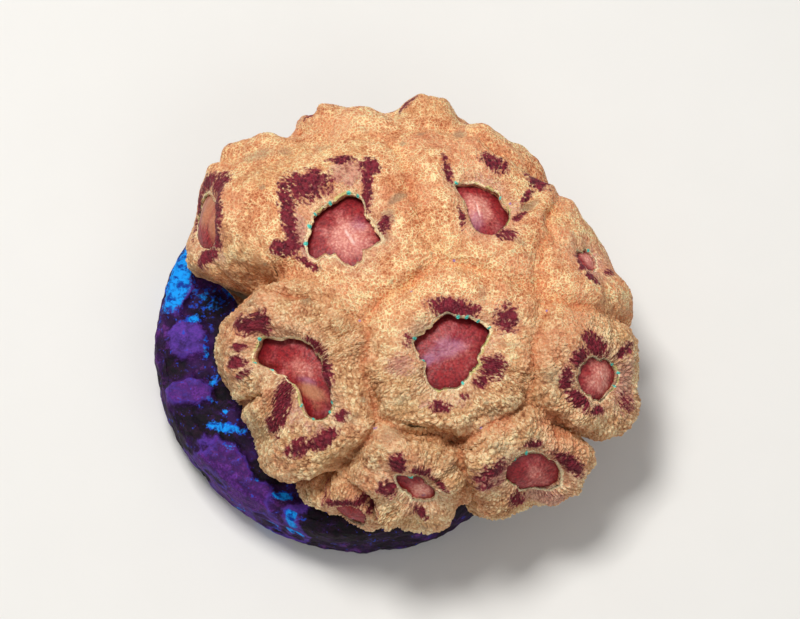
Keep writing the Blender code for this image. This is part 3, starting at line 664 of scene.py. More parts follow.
def sheet_layout(index, columns, rows):
    """One polyp's sheet before its relief: columns go round, and rows run from under the lip outwards.

    Each point lies at a distance from its lip along the flesh's way out, folded over the dome at the flesh's
    height. Under the lip the flesh slopes back by LIP_TUCK, and the lip's edge rolls down by a parabola.
    Past the furrow the sheet sinks by DIVE times the square of the distance, under its neighbour.
    """
    _, centre, depth = POLYPS[index][:3]
    bearing = np.arange(columns) * FULL_TURN / columns
    lip = outline_radius(POLYPS[index], bearing)
    mean_lip = lip.mean()
    ring = np.stack([np.cos(bearing), np.sin(bearing), np.zeros(columns)], axis=-1) * mean_lip + index * 7.3
    for amount, size, salt in LIP_WOBBLE:
        lip = lip + amount * soft_noise(ring, size, salt)
    lip_a, lip_b = centre[0] + lip * np.cos(bearing), centre[1] + lip * np.sin(bearing)
    flow = outline_flow(index, bearing)
    reach = cell_reach(index, lip_a, lip_b, flow)
    tuck = 1.0 - np.linspace(0.0, 1.0, TUCK_ROWS + 1)[:-1, None]
    share = np.linspace(0.0, 1.0, rows)[:, None]
    out = (0.5 * share + 0.5 * share**2) * (reach + OVERLAP)
    run = np.vstack([np.broadcast_to(LIP_TUCK * tuck**0.8, (TUCK_ROWS, columns)), out])
    a = lip_a + run * np.cos(flow)
    b = lip_b + run * np.sin(flow)
    outside = np.vstack([np.zeros((TUCK_ROWS, columns)), out])
    height, furrow = flesh_height(a, b)
    height[:TUCK_ROWS] = height[TUCK_ROWS] - LIP_ROUND - (depth - LIP_DROP + 0.3) * tuck
    rolled = LIP_ROUND * np.clip(1.0 - outside / LIP_ROUND, 0.0, 1.0) ** 2
    height -= np.where(outside > 0.0, rolled, 0.0)
    past = np.maximum(outside - reach, 0.0)
    height -= DIVE * past**2 * (np.hypot(a, b) < EDGE - 0.5)
    signed = np.vstack([np.broadcast_to(-1.2 * tuck, (TUCK_ROWS, columns)), out])
    return SimpleNamespace(index=index, bearing=bearing, lip=lip, mean_lip=mean_lip, reach=reach, run=run,
                           a=a, b=b, outside=outside, signed=signed, furrow=furrow, points=wrap(a, b, height))


def cells_round(sheet, bearing, beyond, size, shift):
    """Places among cells of one width and length on rings about a polyp, true to size `beyond` its lip."""
    width, length = size
    count = FULL_TURN * (sheet.mean_lip + beyond) / width
    return round_place(bearing, count, sheet.outside / length + sheet.index * shift)


def flesh_relief(sheet, beaded_here):
    """The grain of a polyp's flesh from 0 to 1, and how far the whole relief lifts it along its normal.

    The grain is a net where the flesh isn't beaded. Where it is, beads stand in rows on the polyp's own
    ground, loose past it, and larger on steep walls. Pleats run out from the lip. The relief adds soft lumps,
    broad lobules round the polyp, and folds among the beads.
    """
    points, outside = sheet.points, sheet.outside
    own = smooth_step((sheet.reach - outside) / 0.8)
    wandering = sheet.bearing + 0.08 * soft_noise(points, 1.5, 12)
    pleats = beads(cells_round(sheet, wandering, 0.8, PLEAT, 5.0), 11)
    in_rows = beads(cells_round(sheet, wandering, 3.2, BEAD, 5.0), 14)
    loose = beads(warped(points, 0.8, 0.18, 17) / LOOSE_BEAD, 21)
    on_walls = beads(warped(points, 0.9, 0.2, 41) / STEEP_BEAD, 43)
    net = ridges(warped(points, 0.7, 0.16, 24) / NET_CELL, 27)
    stretch = np.linalg.norm(np.gradient(points, axis=0), axis=-1)
    stretch = stretch / np.maximum(np.gradient(sheet.run, axis=0), 0.02)
    bead = loose + (in_rows - loose) * own
    bead = bead + (on_walls - bead) * smooth_step((stretch - STEEP_FROM) / 0.8)
    grain = net + (bead - net) * beaded_here
    by_lip = own * smooth_step((PLEAT_END - outside) / PLEAT_FADE)
    grain = grain + (pleats - grain) * PLEAT_SHARE * by_lip

    lobules = soft_noise(cells_round(sheet, sheet.bearing, 3.0, LOBULE, 9.0), 1.0, 35)
    folds = soft_noise(cells_round(sheet, wandering, 3.0, FOLD, 6.0), 1.0, 37)
    folds = folds * beaded_here * own * smooth_step((outside - 0.3) / 0.8)
    lumps = layered(points, LUMPS) + FOLD_SHARE * folds
    lift = LUMP_HEIGHT * lumps + LOBULE_HEIGHT * lobules * smooth_step((outside - 0.5) / 2.0)
    lift = lift + (NET_HEIGHT + BEAD_HEIGHT * beaded_here) * (grain - 0.5)
    return grain, lift * smooth_step(outside / 0.25)


def teal_beads(name, bearing, lip):
    """Share from 0 to 1 of a lip's teal beads: bells about their bearings, in four sizes by turns."""
    share = np.zeros_like(bearing)
    for order, degrees in enumerate(TEAL_BEARINGS.get(name, ())):
        size = TEAL_SIZE - 0.03 * (order % 4)
        share = np.maximum(share, np.exp(-((off_bearing(bearing, degrees) * lip / size) ** 2)))
    return share


def green_lengths(name, bearing):
    """Share from 0 to 1 of a lip's yellow-green lengths, eased at their ends."""
    share = np.zeros_like(bearing)
    for degrees, spread in GREEN_LIPS.get(name, ()):
        inside = math.radians(spread) - off_bearing(bearing, degrees)
        share = np.maximum(share, smooth_step(inside / 0.3 + 0.5))
    return share


def polyp_sheet(index, columns, rows):
    """One polyp's flesh: its sheet, moved along its normal by its relief and by the teal beads on its lip."""
    name = POLYPS[index][0]
    sheet = sheet_layout(index, columns, rows)
    a, b = sheet.a, sheet.b
    beaded_here = beaded(a, b)
    grain, lift = flesh_relief(sheet, beaded_here)
    at_lip = np.exp(-(((sheet.signed - LIP_LINE[0]) / LIP_LINE[1]) ** 2))
    teal = teal_beads(name, sheet.bearing, sheet.lip) * at_lip
    points = sheet.points + sheet_normals(sheet.points) * (lift + TEAL_HEIGHT * teal)[..., None]
    points[..., 2] = np.maximum(points[..., 2], FOOT)
    around = FULL_TURN * (sheet.mean_lip + 1.0)
    attributes = {
        "ray": round_place(sheet.bearing, around, 0.42 * sheet.outside + index * 7.0),
        "out": sheet.signed,
        "grain": grain,
        "beaded": beaded_here,
        "furrow": sheet.furrow * smooth_step(sheet.outside),
        "burgundy": patches(a, b, BURGUNDY),
        "mauve": patches(a, b, MAUVE),
        "olive": patches(a, b, OLIVE),
        "green_lip": np.broadcast_to(green_lengths(name, sheet.bearing), a.shape),
        "teal": teal,
        "lilac": dots(a, b, LILAC_DOTS, LILAC_SIZE),
    }
    return grid_mesh(f"polyp_{name}", points, attributes)


def mouth_disc(index, columns, rows):
    """One polyp's mouth disc: a dish on rings about the mouth, run on under the lip.

    Its edge hangs at one depth below the lip all round, and it rises towards the mouth by a quarter of a
    circle. Fine spokes run out from the mouth, and the mouth itself is a slit between raised lips: two bell
    shapes, one long and narrow taken from one broad.
    """
    name, (ca, cb), depth, (ma, mb), _ = POLYPS[index]
    slit_turn, slit_length, paleness, _ = MOUTHS[name]
    bearing = np.arange(columns) * FULL_TURN / columns
    share = (np.arange(1, rows + 1) / rows)[:, None]
    lip = outline_radius(POLYPS[index], bearing)
    rim = lip + MOUTH_UNDER_LIP
    size = rim.mean()
    a = ma + (ca + rim * np.cos(bearing) - ma) * share
    b = mb + (cb + rim * np.sin(bearing) - mb) * share
    from_mouth = np.hypot(a - ma, b - mb)
    outwards = np.broadcast_to(2.4 * share + index * 3.0, a.shape)
    spokes = soft_noise(round_place(bearing, FULL_TURN * size / SPOKE_WIDTH, outwards), 1.0, 51)
    waves = soft_noise(np.stack([a, b, np.full_like(a, index * 4.0)], axis=-1), WAVE, 54)
    u, v = in_oval(a, b, (ma, mb), (slit_length, slit_length), slit_turn)
    slit = np.exp(-(u**2) ** 1.5 - (v / SLIT_WIDTH) ** 2)
    lips = np.exp(-((u / LIPS_WIDTH[0]) ** 2) - (v / LIPS_WIDTH[1]) ** 2)
    lip_rise = flesh_height(ca + lip * np.cos(bearing), cb + lip * np.sin(bearing))[0] + LIP_DROP
    lip_rise = lip_rise.mean() + (lip_rise - lip_rise.mean()) * share**2
    dish = DISH_RISE * np.sqrt(np.clip(1.0 - share**2, 0.0, 1.0))
    height = lip_rise - depth - 0.1 + dish + WAVE_HEIGHT * waves * (1.0 - share)
    height = height + SPOKE_HEIGHT * spokes * smooth_step((from_mouth - 0.3) / 0.6)
    height = height + LIPS_HEIGHT * lips - SLIT_DEPTH * slit
    points = wrap(a, b, height)
    granules = beads(points / GRANULE, 52)
    points = points + sheet_normals(points) * (GRANULE_HEIGHT * granules)[..., None]
    attributes = {
        "ray": round_place(bearing, FULL_TURN * size, 0.3 * from_mouth + index * 7.0),
        "pale": paleness * np.exp(-(((from_mouth + 0.25 * waves) / (PALE_REACH * size)) ** 2)),
        "rim": np.broadcast_to(share, a.shape),
        "granules": granules,
        "slit": slit * paleness,
        "violet": patches(a, b, VIOLET_TINTS),
        "tan": patches(a, b, TAN_TINTS),
    }
    middle = wrap(np.array([ma]), np.array([mb]), height[:1].mean(axis=1))
    return grid_mesh(f"mouth_{name}", points, attributes, (middle, None))


# ---------------------------------------------------------------- the disc
# Plates of crust: centre, half-length and half-width, turn in degrees, height
CRUST_PLATES = (
    ((-13.4, -4.9), (2.2, 1.35), 8, 0.55),
    ((-9.4, -12.1), (4.4, 1.9), -50, 0.6),
    ((-14.2, 4.2), (1.3, 2.9), -12, 0.4),
    ((-5.0, -14.6), (1.6, 0.9), 20, 0.4),
    ((-13.4, -0.4), (1.9, 1.9), 0, 0.35),
)
# Low bumps on the disc's edge: bearing in degrees, height, half-width in degrees
EDGE_BUMPS = ((163, 0.05, 14), (203, 0.2, 9), (262, 0.4, 13), (287, 0.3, 12), (322, 0.3, 20), (60, 0.3, 25))
# The disc's section in runs: share of the radius and height at the start and at the end, and rows between
DISC_RUNS = (
    ((0.02, DISC_TOP), (0.5, DISC_TOP), 6), ((0.5, DISC_TOP), (0.965, DISC_TOP), 56),
    ((0.965, DISC_TOP), (1.0, 5.3), 7), ((1.0, 5.3), (1.008, 3.8), 9), ((1.008, 3.8), (1.0, 1.8), 12),
    ((1.0, 1.8), (0.992, 0.5), 8), ((0.992, 0.5), (0.965, 0.0), 4), ((0.965, 0.0), (0.02, 0.0), 6),
)
PLATE_RAGGED = ((0.26, 1.3, 61), (0.12, 0.5, 62))  # layers of noise on the plates' edges
WANDER_X = ((3.0, 2.6, 81), (1.2, 1.1, 82))  # layers by which growths wander down the side
WANDER_Y = ((3.0, 2.6, 83), (1.2, 1.1, 84))
ROUGHNESS = ((0.20, 1.6, 64), (0.10, 0.6, 65))
HOLLOW = 0.9  # size and depth of the crust's pits
HOLLOW_DEPTH = 0.16
CRUMB = 0.42  # size and height of the growths' crumbs
CRUMB_HEIGHT = 0.14
TOP_SINK = 0.12  # how far the top is let down, so that its roughness stays level with the solid's top
RIB_COUNT = 96.0  # ribs on the colony's underside, and their height
RIB_HEIGHT = 0.05
UNDERSIDE_RISE = 0.16  # how far the underside's plate lies above the colony's foot
# Growths on the disc, and dark patches, given as the marks are; the dark patches are the crust's bare dark
# ground, and the two at the front edge, under the colony's overhang, are painted shade
AZURE = (
    (-14.5, 4.5, 1.35, 3.0, -14, 1.0), (-9.7, 3.5, 1.1, 0.6, -10, 0.9), (-11.8, 2.9, 1.6, 1.0, -10, 0.55),
    (-13.0, 1.3, 0.7, 0.5, 20, 0.8), (-10.3, -7.8, 1.7, 0.42, -12, 0.9), (-10.4, -6.5, 0.3, 0.25, 0, 0.8),
    (-5.8, -13.4, 0.8, 0.35, -10, 0.95), (-5.3, -15.0, 0.6, 0.35, 0, 0.95), (-7.9, -12.1, 0.4, 0.3, 0, 0.7),
    (-11.9, -1.2, 0.45, 1.3, 0, 0.6), (-11.3, -3.4, 0.4, 0.9, 0, 0.55), (-9.9, -9.4, 0.8, 0.5, 0, 0.45),
    (12.4, 9.6, 1.4, 0.8, 40, 0.8), (3.0, 15.2, 2.0, 0.7, 0, 0.8), (14.2, -6.2, 0.8, 1.6, 0, 0.7),
    (-8.0, 13.6, 1.8, 0.8, 30, 0.7), (-11.6, -5.6, 0.6, 0.3, 0, 0.5),
)
# Dark patches: bare dark crust, and painted shade on the front edge under the overhanging colony.
DARK_CRUST_AND_SHADE = (
    (-11.8, -8.0, 3.2, 1.6, -32, 1.0), (-14.6, -2.7, 1.3, 0.9, 0, 1.0), (-3.2, -14.6, 2.6, 1.2, 10, 0.95),
    (-7.0, -11.2, 1.8, 1.3, -30, 0.9), (0.0, -16.0, 6.0, 1.6, 0, 1.0), (8.0, -13.6, 5.0, 1.8, 30, 0.9),
    (-10.6, -1.4, 0.9, 2.8, 0, 0.9), (-11.9, 2.2, 1.6, 1.1, 0, 0.8), (-10.8, -5.0, 1.0, 1.6, 0, 0.95),
    (-13.2, -10.2, 0.9, 1.6, 30, 0.85), (-14.8, -7.2, 0.6, 1.0, 20, 0.9),
)


def disc_edge(turn):
    """The disc's radius at each angle: its own radius with the crust's low bumps on the edge."""
    degrees = np.degrees(turn) % 360.0
    radius = np.full_like(degrees, DISC_RADIUS)
    for middle, rise, width in EDGE_BUMPS:
        off = (degrees - middle + 180.0) % 360.0 - 180.0
        radius = radius + rise * np.exp(-((off / width) ** 2))
    return radius


def crusted_disc(columns):
    """The disc with its crust: columns go round, rows run from the top's middle out, down and in below.

    Plates of crust stand up from the top with rounded, ragged edges, less so under the colony. Down the side
    the places at which the growths are looked up wander by soft noise, so that they make no upright stripes.
    Soft noise and pits then roughen the top and the side along the surface's own normal.
    """
    turn = np.arange(columns) * FULL_TURN / columns
    runs = [np.linspace(start, end, count, endpoint=False) for start, end, count in DISC_RUNS]
    section = np.vstack(runs)
    radius = section[:, :1] * disc_edge(turn)
    x, y = radius * np.cos(turn), radius * np.sin(turn)
    z = np.broadcast_to(section[:, 1:], x.shape).copy()
    points = np.stack([x, y, z], axis=-1)
    ragged = layered(points, PLATE_RAGGED)
    below = smooth_step((DISC_TOP - z) / 2.5)
    mx = x + below * layered(points, WANDER_X)
    my = y + below * layered(points, WANDER_Y)
    rise = np.zeros_like(x)
    for centre, sizes, degrees, height in CRUST_PLATES:
        out = np.hypot(*in_oval(mx, my, centre, sizes, degrees))
        rise = np.maximum(rise, height * smooth_step((1.15 - out + ragged) / 0.50))
    upper = smooth_step((z - 4.5) / 1.0)
    from_x, from_y = x - DOME_CENTRE[0], y - DOME_CENTRE[1]
    inside = waist_radius(np.arctan2(from_y, from_x)) - 0.6 - np.hypot(from_x, from_y)
    rise = rise * (1.0 - 0.6 * smooth_step(inside))
    z += rise * upper
    points = np.stack([x, y, z], axis=-1)
    hollows = pits(points / HOLLOW, 63)
    crumbs = beads(points / CRUMB, 67)
    broken = 1.0 - below * smooth_step(0.45 + 1.6 * soft_noise(points, 1.7, 85))
    azure, dark = patches(mx, my, AZURE) * broken, patches(mx, my, DARK_CRUST_AND_SHADE)
    bare = 1.0 - 0.6 * np.clip(rise / 0.4, 0.0, 1.0)
    lift = (layered(points, ROUGHNESS) - HOLLOW_DEPTH * hollows) * bare
    lift = lift + CRUMB_HEIGHT * (crumbs - 0.5) * np.maximum(azure, 0.5 * dark)
    side = smooth_step(z / 0.6) * (1.0 - upper)
    outer_top = smooth_step((radius - 8.0) / 2.0) * upper
    lift = lift * np.maximum(side, outer_top) - TOP_SINK * upper
    points = points + sheet_normals(points) * lift[..., None]
    points[..., 2] = np.where(section[:, 1:] == 0.0, 0.0, np.maximum(points[..., 2], 0.0))
    attributes = {"azure": azure, "dark": dark, "plate": rise / 0.6, "pits": hollows, "crumbs": crumbs}
    return grid_mesh("crusted_disc", points, attributes, ([0.0, 0.0, DISC_TOP - TOP_SINK], [0.0, 0.0, 0.0]))


def colony_underside(columns, rows):
    """The colony's bare stony underside, where it overhangs the disc: rows run from the tucked flesh inwards.

    Low ribs run out from the middle, a sine of the bearing with bends in it, over a porous plate that lies
    just above the flesh's turned-in edge.
    """
    turn = np.arange(columns) * FULL_TURN / columns
    share = np.linspace(1.0, 0.1, rows)[:, None]
    a, b = (EDGE + 0.9) * np.cos(turn), (EDGE + 0.9) * np.sin(turn)
    tucked = wrap(a, b, flesh_height(a, b)[0]) - np.array([*DOME_CENTRE, 0.0])
    radius = np.hypot(tucked[:, 0], tucked[:, 1]) * share
    x = DOME_CENTRE[0] + radius * np.cos(turn)
    y = DOME_CENTRE[1] + radius * np.sin(turn)
    level = np.stack([x, y, np.full_like(x, FOOT)], axis=-1)
    ribs = np.sin(RIB_COUNT * turn + 1.5 * soft_noise(level, 3.0, 71)) * smooth_step((share - 0.3) / 0.3)
    hollows = pits(level / 0.6, 72)
    points = level.copy()
    points[..., 2] += UNDERSIDE_RISE + RIB_HEIGHT * ribs + RIB_HEIGHT * hollows
    attributes = {"ribs": 0.5 + 0.5 * ribs, "pits": hollows}
    middle = [*DOME_CENTRE, FOOT + UNDERSIDE_RISE]
    return grid_mesh("colony_underside", points, attributes, (None, middle))


# ---------------------------------------------------------------- materials
def colour(red, green, blue):
    """A colour given from 0 to 255 as seen on a screen, as the linear values that a shader takes."""
    values = np.array([red, green, blue]) / 255.0
    linear = np.where(values <= 0.04045, values / 12.92, ((values + 0.055) / 1.055) ** 2.4)
    return (*[float(v) for v in linear], 1.0)


class Recipe:
    """A material under construction: its node tree, with short calls for the nodes that the finishes use."""

    def __init__(self, name):
        self.material = bpy.data.materials.new(name)
        self.material.use_nodes = True
        self.nodes = self.material.node_tree.nodes
        self.links = self.material.node_tree.links
        self.shader = self.nodes["Principled BSDF"]
        self.place = self.nodes.new("ShaderNodeTexCoord").outputs["Object"]

    def put(self, value, socket):
        """Link an output to a socket, or set the socket to a plain value."""
        if hasattr(value, "links"):
            self.links.new(value, socket)
        else:
            socket.default_value = value

    def attribute(self, name, output="Fac"):
        """A value that the mesh carries at its points."""
        node = self.nodes.new("ShaderNodeAttribute")
        node.attribute_name = name
        return node.outputs[output]

    def millimetres(self, vector):
        """A vector attribute in millimetres as one in metres, the unit that the patterns are sized in."""
        node = self.nodes.new("ShaderNodeVectorMath")
        node.operation = "SCALE"
        self.put(vector, node.inputs[0])
        node.inputs["Scale"].default_value = MM
        return node.outputs[0]

    def add(self, base, value, amount):
        """A value times an amount, added to a base."""
        return self.math("MULTIPLY_ADD", value, amount, base)

    def swing(self, base, noise, amount):
        """A base that noise moves up and down: how far the noise is from its middle, times an amount."""
        return self.add(base, self.math("SUBTRACT", noise, 0.5), amount)

    def frayed(self, share, streak, speck, grain, amount):
        """A flesh mark's share, frayed by streaks and specks, and taken back from the tops of beads.

        Past the mark's own reach it is 0, so that the noise alone makes no specks.
        """
        near = self.ramp(share, 0.0, 0.25)
        share = self.swing(self.swing(share, streak, 1.6 * amount), speck, 0.9 * amount)
        share = self.add(share, self.math("SUBTRACT", 0.45, grain), 0.35 * amount)
        return self.math("MULTIPLY", share, near)

    def math(self, operation, first, second=0.0, third=0.0, clamp=False):
        """One sum on plain values or outputs."""
        node = self.nodes.new("ShaderNodeMath")
        node.operation = operation
        node.use_clamp = clamp
        self.put(first, node.inputs[0])
        self.put(second, node.inputs[1])
        self.put(third, node.inputs[2])
        return node.outputs[0]

    def mix(self, share, first, second, blend="MIX"):
        """The first colour with a share of the second laid over it."""
        node = self.nodes.new("ShaderNodeMix")
        node.data_type = "RGBA"
        node.blend_type = blend
        self.put(share, node.inputs["Factor"])
        self.put(first, node.inputs["A"])
        self.put(second, node.inputs["B"])
        return node.outputs["Result"]

    def ramp(self, value, low, high):
        """0 at low and 1 at high, eased between."""
        node = self.nodes.new("ShaderNodeMapRange")
        node.interpolation_type = "SMOOTHSTEP"
        self.put(value, node.inputs["Value"])
        node.inputs["From Min"].default_value = low
        node.inputs["From Max"].default_value = high
        return node.outputs["Result"]

    def part(self, value, low, high, most):
        """0 at low and `most` at high, eased between: how much of a paint goes on."""
        return self.math("MULTIPLY", self.ramp(value, low, high), most)

    def noise(self, size, detail=2.0, place=None, output="Fac"):
        """Cloudy noise with features of `size` mm, from 0 to 1."""
        node = self.nodes.new("ShaderNodeTexNoise")
        self.put(place or self.place, node.inputs["Vector"])
        node.inputs["Scale"].default_value = 1.0 / (size * MM)
        node.inputs["Detail"].default_value = detail
        return node.outputs[output]

    def cells(self, size, feature, place=None):
        """A cell pattern with cells of `size` mm."""
        node = self.nodes.new("ShaderNodeTexVoronoi")
        node.feature = feature
        self.put(place or self.place, node.inputs["Vector"])
        node.inputs["Scale"].default_value = 1.0 / (size * MM)
        return node.outputs["Distance"]

    def warped(self, size, amount):
        """The place moved about by noise, so that a pattern on it loses its evenness."""
        node = self.nodes.new("ShaderNodeVectorMath")
        node.operation = "MULTIPLY_ADD"
        self.put(self.noise(size, 1.0, output="Color"), node.inputs[0])
        node.inputs[1].default_value = (amount * MM,) * 3
        self.put(self.place, node.inputs[2])
        return node.outputs[0]

    def bump(self, height, depth, strength=1.0, under=None):
        """A fine relief of `depth` mm, laid over another where one is given."""
        node = self.nodes.new("ShaderNodeBump")
        node.inputs["Distance"].default_value = depth * MM
        node.inputs["Strength"].default_value = strength
        self.put(height, node.inputs["Height"])
        if under is not None:
            self.links.new(under, node.inputs["Normal"])
        return node.outputs["Normal"]

    def finish(self, base, roughness, normal, soft=0.0, soft_reach=0.5, specular=0.25):
        """The finished material; `soft` is how much light soaks in, and `soft_reach` how far, in mm."""
        self.put(base, self.shader.inputs["Base Color"])
        self.put(roughness, self.shader.inputs["Roughness"])
        self.put(normal, self.shader.inputs["Normal"])
        self.shader.inputs["Subsurface Weight"].default_value = soft
        self.shader.inputs["Subsurface Radius"].default_value = (1.0, 0.45, 0.25)
        self.shader.inputs["Subsurface Scale"].default_value = soft_reach * MM
        self.shader.inputs["Specular IOR Level"].default_value = specular
        return self.material


def flesh_tone(r, grain, beaded_here, patch, speck, granules, pores, net):
    """The flesh's colour: orange pits, a middle tone and cream granules, by how light each place is. Among
    the beads the pit tone is darker and the gaps are darkened further, as painted shade.
    """
    cloud = r.noise(3.2, 3.0)
    light = r.add(0.0, granules, r.add(0.16, beaded_here, 0.14))
    net_share = r.add(r.add(0.32, r.ramp(patch, 0.35, 0.6), 0.26), beaded_here, -0.34)
    light = r.add(light, net, net_share)
    light = r.add(light, grain, r.add(0.22, beaded_here, 0.34))
    light = r.swing(light, patch, 0.9)
    light = r.swing(light, cloud, 0.7)
    light = r.swing(light, speck, 0.4)
    light = r.add(light, pores, r.add(-0.07, beaded_here, -0.18))
    # Pit tone: the flesh's own orange pits on the crown; the darker pit tone among the beads is painted shade
    # in the gaps.
    pit_and_gap_shade = r.mix(beaded_here, colour(176, 97, 56), colour(136, 81, 50))
    middle = r.mix(beaded_here, colour(228, 160, 112), colour(210, 158, 112))
    ridge = r.mix(beaded_here, colour(255, 232, 176), colour(250, 224, 176))
    base = r.mix(r.ramp(light, -0.15, 0.32), pit_and_gap_shade, middle)
    base = r.mix(r.ramp(light, 0.26, 0.86), base, ridge)
    # Painted shade: the gaps between beads are darkened towards brown.
    shade_between_beads = r.math("MULTIPLY", r.ramp(grain, 0.32, 0.05), r.math("MULTIPLY", beaded_here, 0.6))
    base = r.mix(shade_between_beads, base, colour(128, 76, 46))
    tint = r.noise(4.5, 2.0)
    base = r.mix(r.part(tint, 0.50, 0.66, 0.36), base, colour(226, 142, 106))
    base = r.mix(r.part(tint, 0.46, 0.30, 0.22), base, colour(214, 182, 124))
    # Furrows and creases: the flesh's own redder tint there, with painted shade darkening the hollows.
    shade = r.swing(r.attribute("furrow"), patch, 1.3)
    furrow_tint_and_shade = r.mix(beaded_here, colour(238, 172, 132), colour(212, 140, 100))
    return r.mix(r.part(shade, 0.2, 1.2, 0.6), base, furrow_tint_and_shade, "MULTIPLY")


def flesh_finish():
    """Moist flesh: cream granules over orange pits, redder and darker in the furrows, where the darkening is
    painted shade, with its painted marks.

    Every mark has a share that falls off across its edge. Fine noise drawn out along the polyp's rays is
    added to it before the cut, which frays the edge into streaks, and bead tops stay pale.
    """
    r = Recipe("orange_cream_flesh")
    place = r.warped(0.4, 0.28)
    grain, out, beaded_here = r.attribute("grain"), r.attribute("out"), r.attribute("beaded")
    granules = r.ramp(r.cells(0.25, "F1", place), 0.72, 0.12)
    pores = r.ramp(r.cells(0.62, "F1", r.warped(0.5, 0.3)), 0.30, 0.08)
    net = r.ramp(r.cells(0.27, "DISTANCE_TO_EDGE", place), 0.20, 0.02)
    patch = r.noise(0.9, 3.0)
    streak = r.noise(0.22, 4.0, r.millimetres(r.attribute("ray", "Vector")))
    speck = r.noise(0.18, 2.0)
    base = flesh_tone(r, grain, beaded_here, patch, speck, granules, pores, net)

    spot = r.math("MULTIPLY", r.ramp(r.cells(2.6, "F1"), 0.13, 0.07), r.ramp(patch, 0.36, 0.5))
    spot = r.math("MULTIPLY", spot, r.ramp(out, 1.5, 2.5))
    olive = r.math("MAXIMUM", r.part(r.attribute("olive"), 0.1, 0.8, 0.6), r.math("MULTIPLY", spot, 0.55))
    base = r.mix(olive, base, colour(158, 140, 112))
    fold = r.swing(streak, grain, 0.6)
    pleats = r.mix(r.ramp(fold, 0.25, 0.75), colour(178, 112, 90), colour(244, 202, 172))
    base = r.mix(r.part(out, 2.2, 0.2, 0.34), base, pleats)
    mauve = r.frayed(r.attribute("mauve"), streak, speck, grain, 0.8)
    mauve_tone = r.mix(r.ramp(fold, 0.2, 0.8), colour(140, 76, 84), colour(216, 156, 142))
    base = r.mix(r.part(mauve, 0.25, 0.8, 0.62), base, mauve_tone)
    burgundy = r.frayed(r.attribute("burgundy"), streak, speck, grain, 1.35)
    burgundy_tone = r.mix(r.ramp(fold, 0.15, 1.0), colour(74, 6, 26), colour(142, 38, 54))
    base = r.mix(r.part(burgundy, 0.0, 0.5, 0.55), base, colour(166, 90, 86))
    base = r.mix(r.ramp(burgundy, 0.25, 0.72), base, burgundy_tone)

    jagged = r.swing(r.math("SUBTRACT", out, 0.10), speck, 0.2)
    rim = r.ramp(r.math("ABSOLUTE", jagged), 0.10, 0.03)
    green_lip = r.math("MULTIPLY", r.attribute("green_lip"), r.ramp(r.noise(0.7, 2.0), 0.42, 0.58))
    rim_tone = r.mix(r.ramp(green_lip, 0.2, 0.7), colour(255, 236, 192), colour(222, 214, 140))
    base = r.mix(r.math("MULTIPLY", rim, 0.85), base, rim_tone)
    green = r.math("MULTIPLY", r.ramp(green_lip, 0.3, 0.9), r.ramp(out, 0.35, 0.1))
    base = r.mix(r.math("MULTIPLY", green, 0.25), base, colour(206, 192, 120))
    # Under the lip the flesh turns dark red: the flesh's own red with painted shade beneath the overhang.
    under = r.mix(r.ramp(speck, 0.4, 0.6), colour(138, 50, 40), colour(180, 108, 74))
    base = r.mix(r.ramp(out, -0.1, -0.45), base, under)
    base = r.mix(r.ramp(r.attribute("teal"), 0.35, 0.7), base, colour(92, 214, 198))
    base = r.mix(r.ramp(r.attribute("lilac"), 0.3, 0.8), base, colour(172, 134, 184))
    normal = r.bump(r.add(r.math("ADD", granules, net), pores, -0.35), 0.05, 0.9)
    return r.finish(base, 0.55, normal, 0.15, 0.3)


def mouth_finish():
    """A mouth disc: crimson granules, darker at the rim, partly its own deeper crimson and partly painted
    shade under the lip, paling to rose about a light slit.
    """
    r = Recipe("crimson_mouth_disc")
    pale, rim = r.attribute("pale"), r.attribute("rim")
    streak = r.noise(0.30, 3.0, r.millimetres(r.attribute("ray", "Vector")))
    cloud = r.noise(1.1, 3.0)
    speck = r.noise(0.20, 3.0)
    fine = r.ramp(r.cells(0.22, "F1", r.warped(0.4, 0.15)), 0.7, 0.15)
    veins = r.ramp(r.math("ABSOLUTE", r.math("SUBTRACT", r.noise(0.5, 3.0), 0.5)), 0.07, 0.0)
    granules = r.add(r.math("MULTIPLY", r.attribute("granules"), 0.3), fine, 0.5)
    granules = r.add(granules, veins, 0.35)
    red = r.mix(r.ramp(r.swing(speck, streak, 0.6), 0.30, 0.70), colour(102, 11, 24), colour(156, 33, 40))
    # Darker rim: the disc's own deep crimson with painted shade where the lip overhangs it.
    red = r.mix(r.part(r.add(rim, speck, 0.2), 0.74, 1.02, 0.65), red, colour(88, 14, 22))
    share = r.swing(r.add(0.10, pale, 0.9), cloud, 0.9)
    red = r.mix(r.math("MULTIPLY", granules, share, clamp=True), red, colour(226, 112, 104))
    light = r.swing(r.swing(pale, cloud, 1.2), streak, 0.35)
    rose = r.mix(granules, colour(194, 102, 92), colour(236, 176, 158))
    base = r.mix(r.ramp(light, 0.15, 1.0), red, rose)
    violet = r.swing(r.swing(r.attribute("violet"), cloud, 0.9), speck, 0.5)
    violet_tone = r.mix(r.ramp(cloud, 0.35, 0.65), colour(108, 58, 100), colour(170, 112, 146))
    base = r.mix(r.part(violet, 0.0, 1.0, 0.7), base, violet_tone)
    tan = r.swing(r.swing(r.attribute("tan"), cloud, 0.9), speck, 0.5)
    tan_tone = r.mix(streak, colour(176, 108, 76), colour(206, 156, 118))
    base = r.mix(r.part(tan, 0.1, 1.1, 0.8), base, tan_tone)
    base = r.mix(r.part(r.attribute("slit"), 0.2, 0.9, 0.6), base, colour(248, 220, 208))
    return r.finish(base, 0.45, r.bump(granules, 0.03, 0.7), 0.15, 0.3)


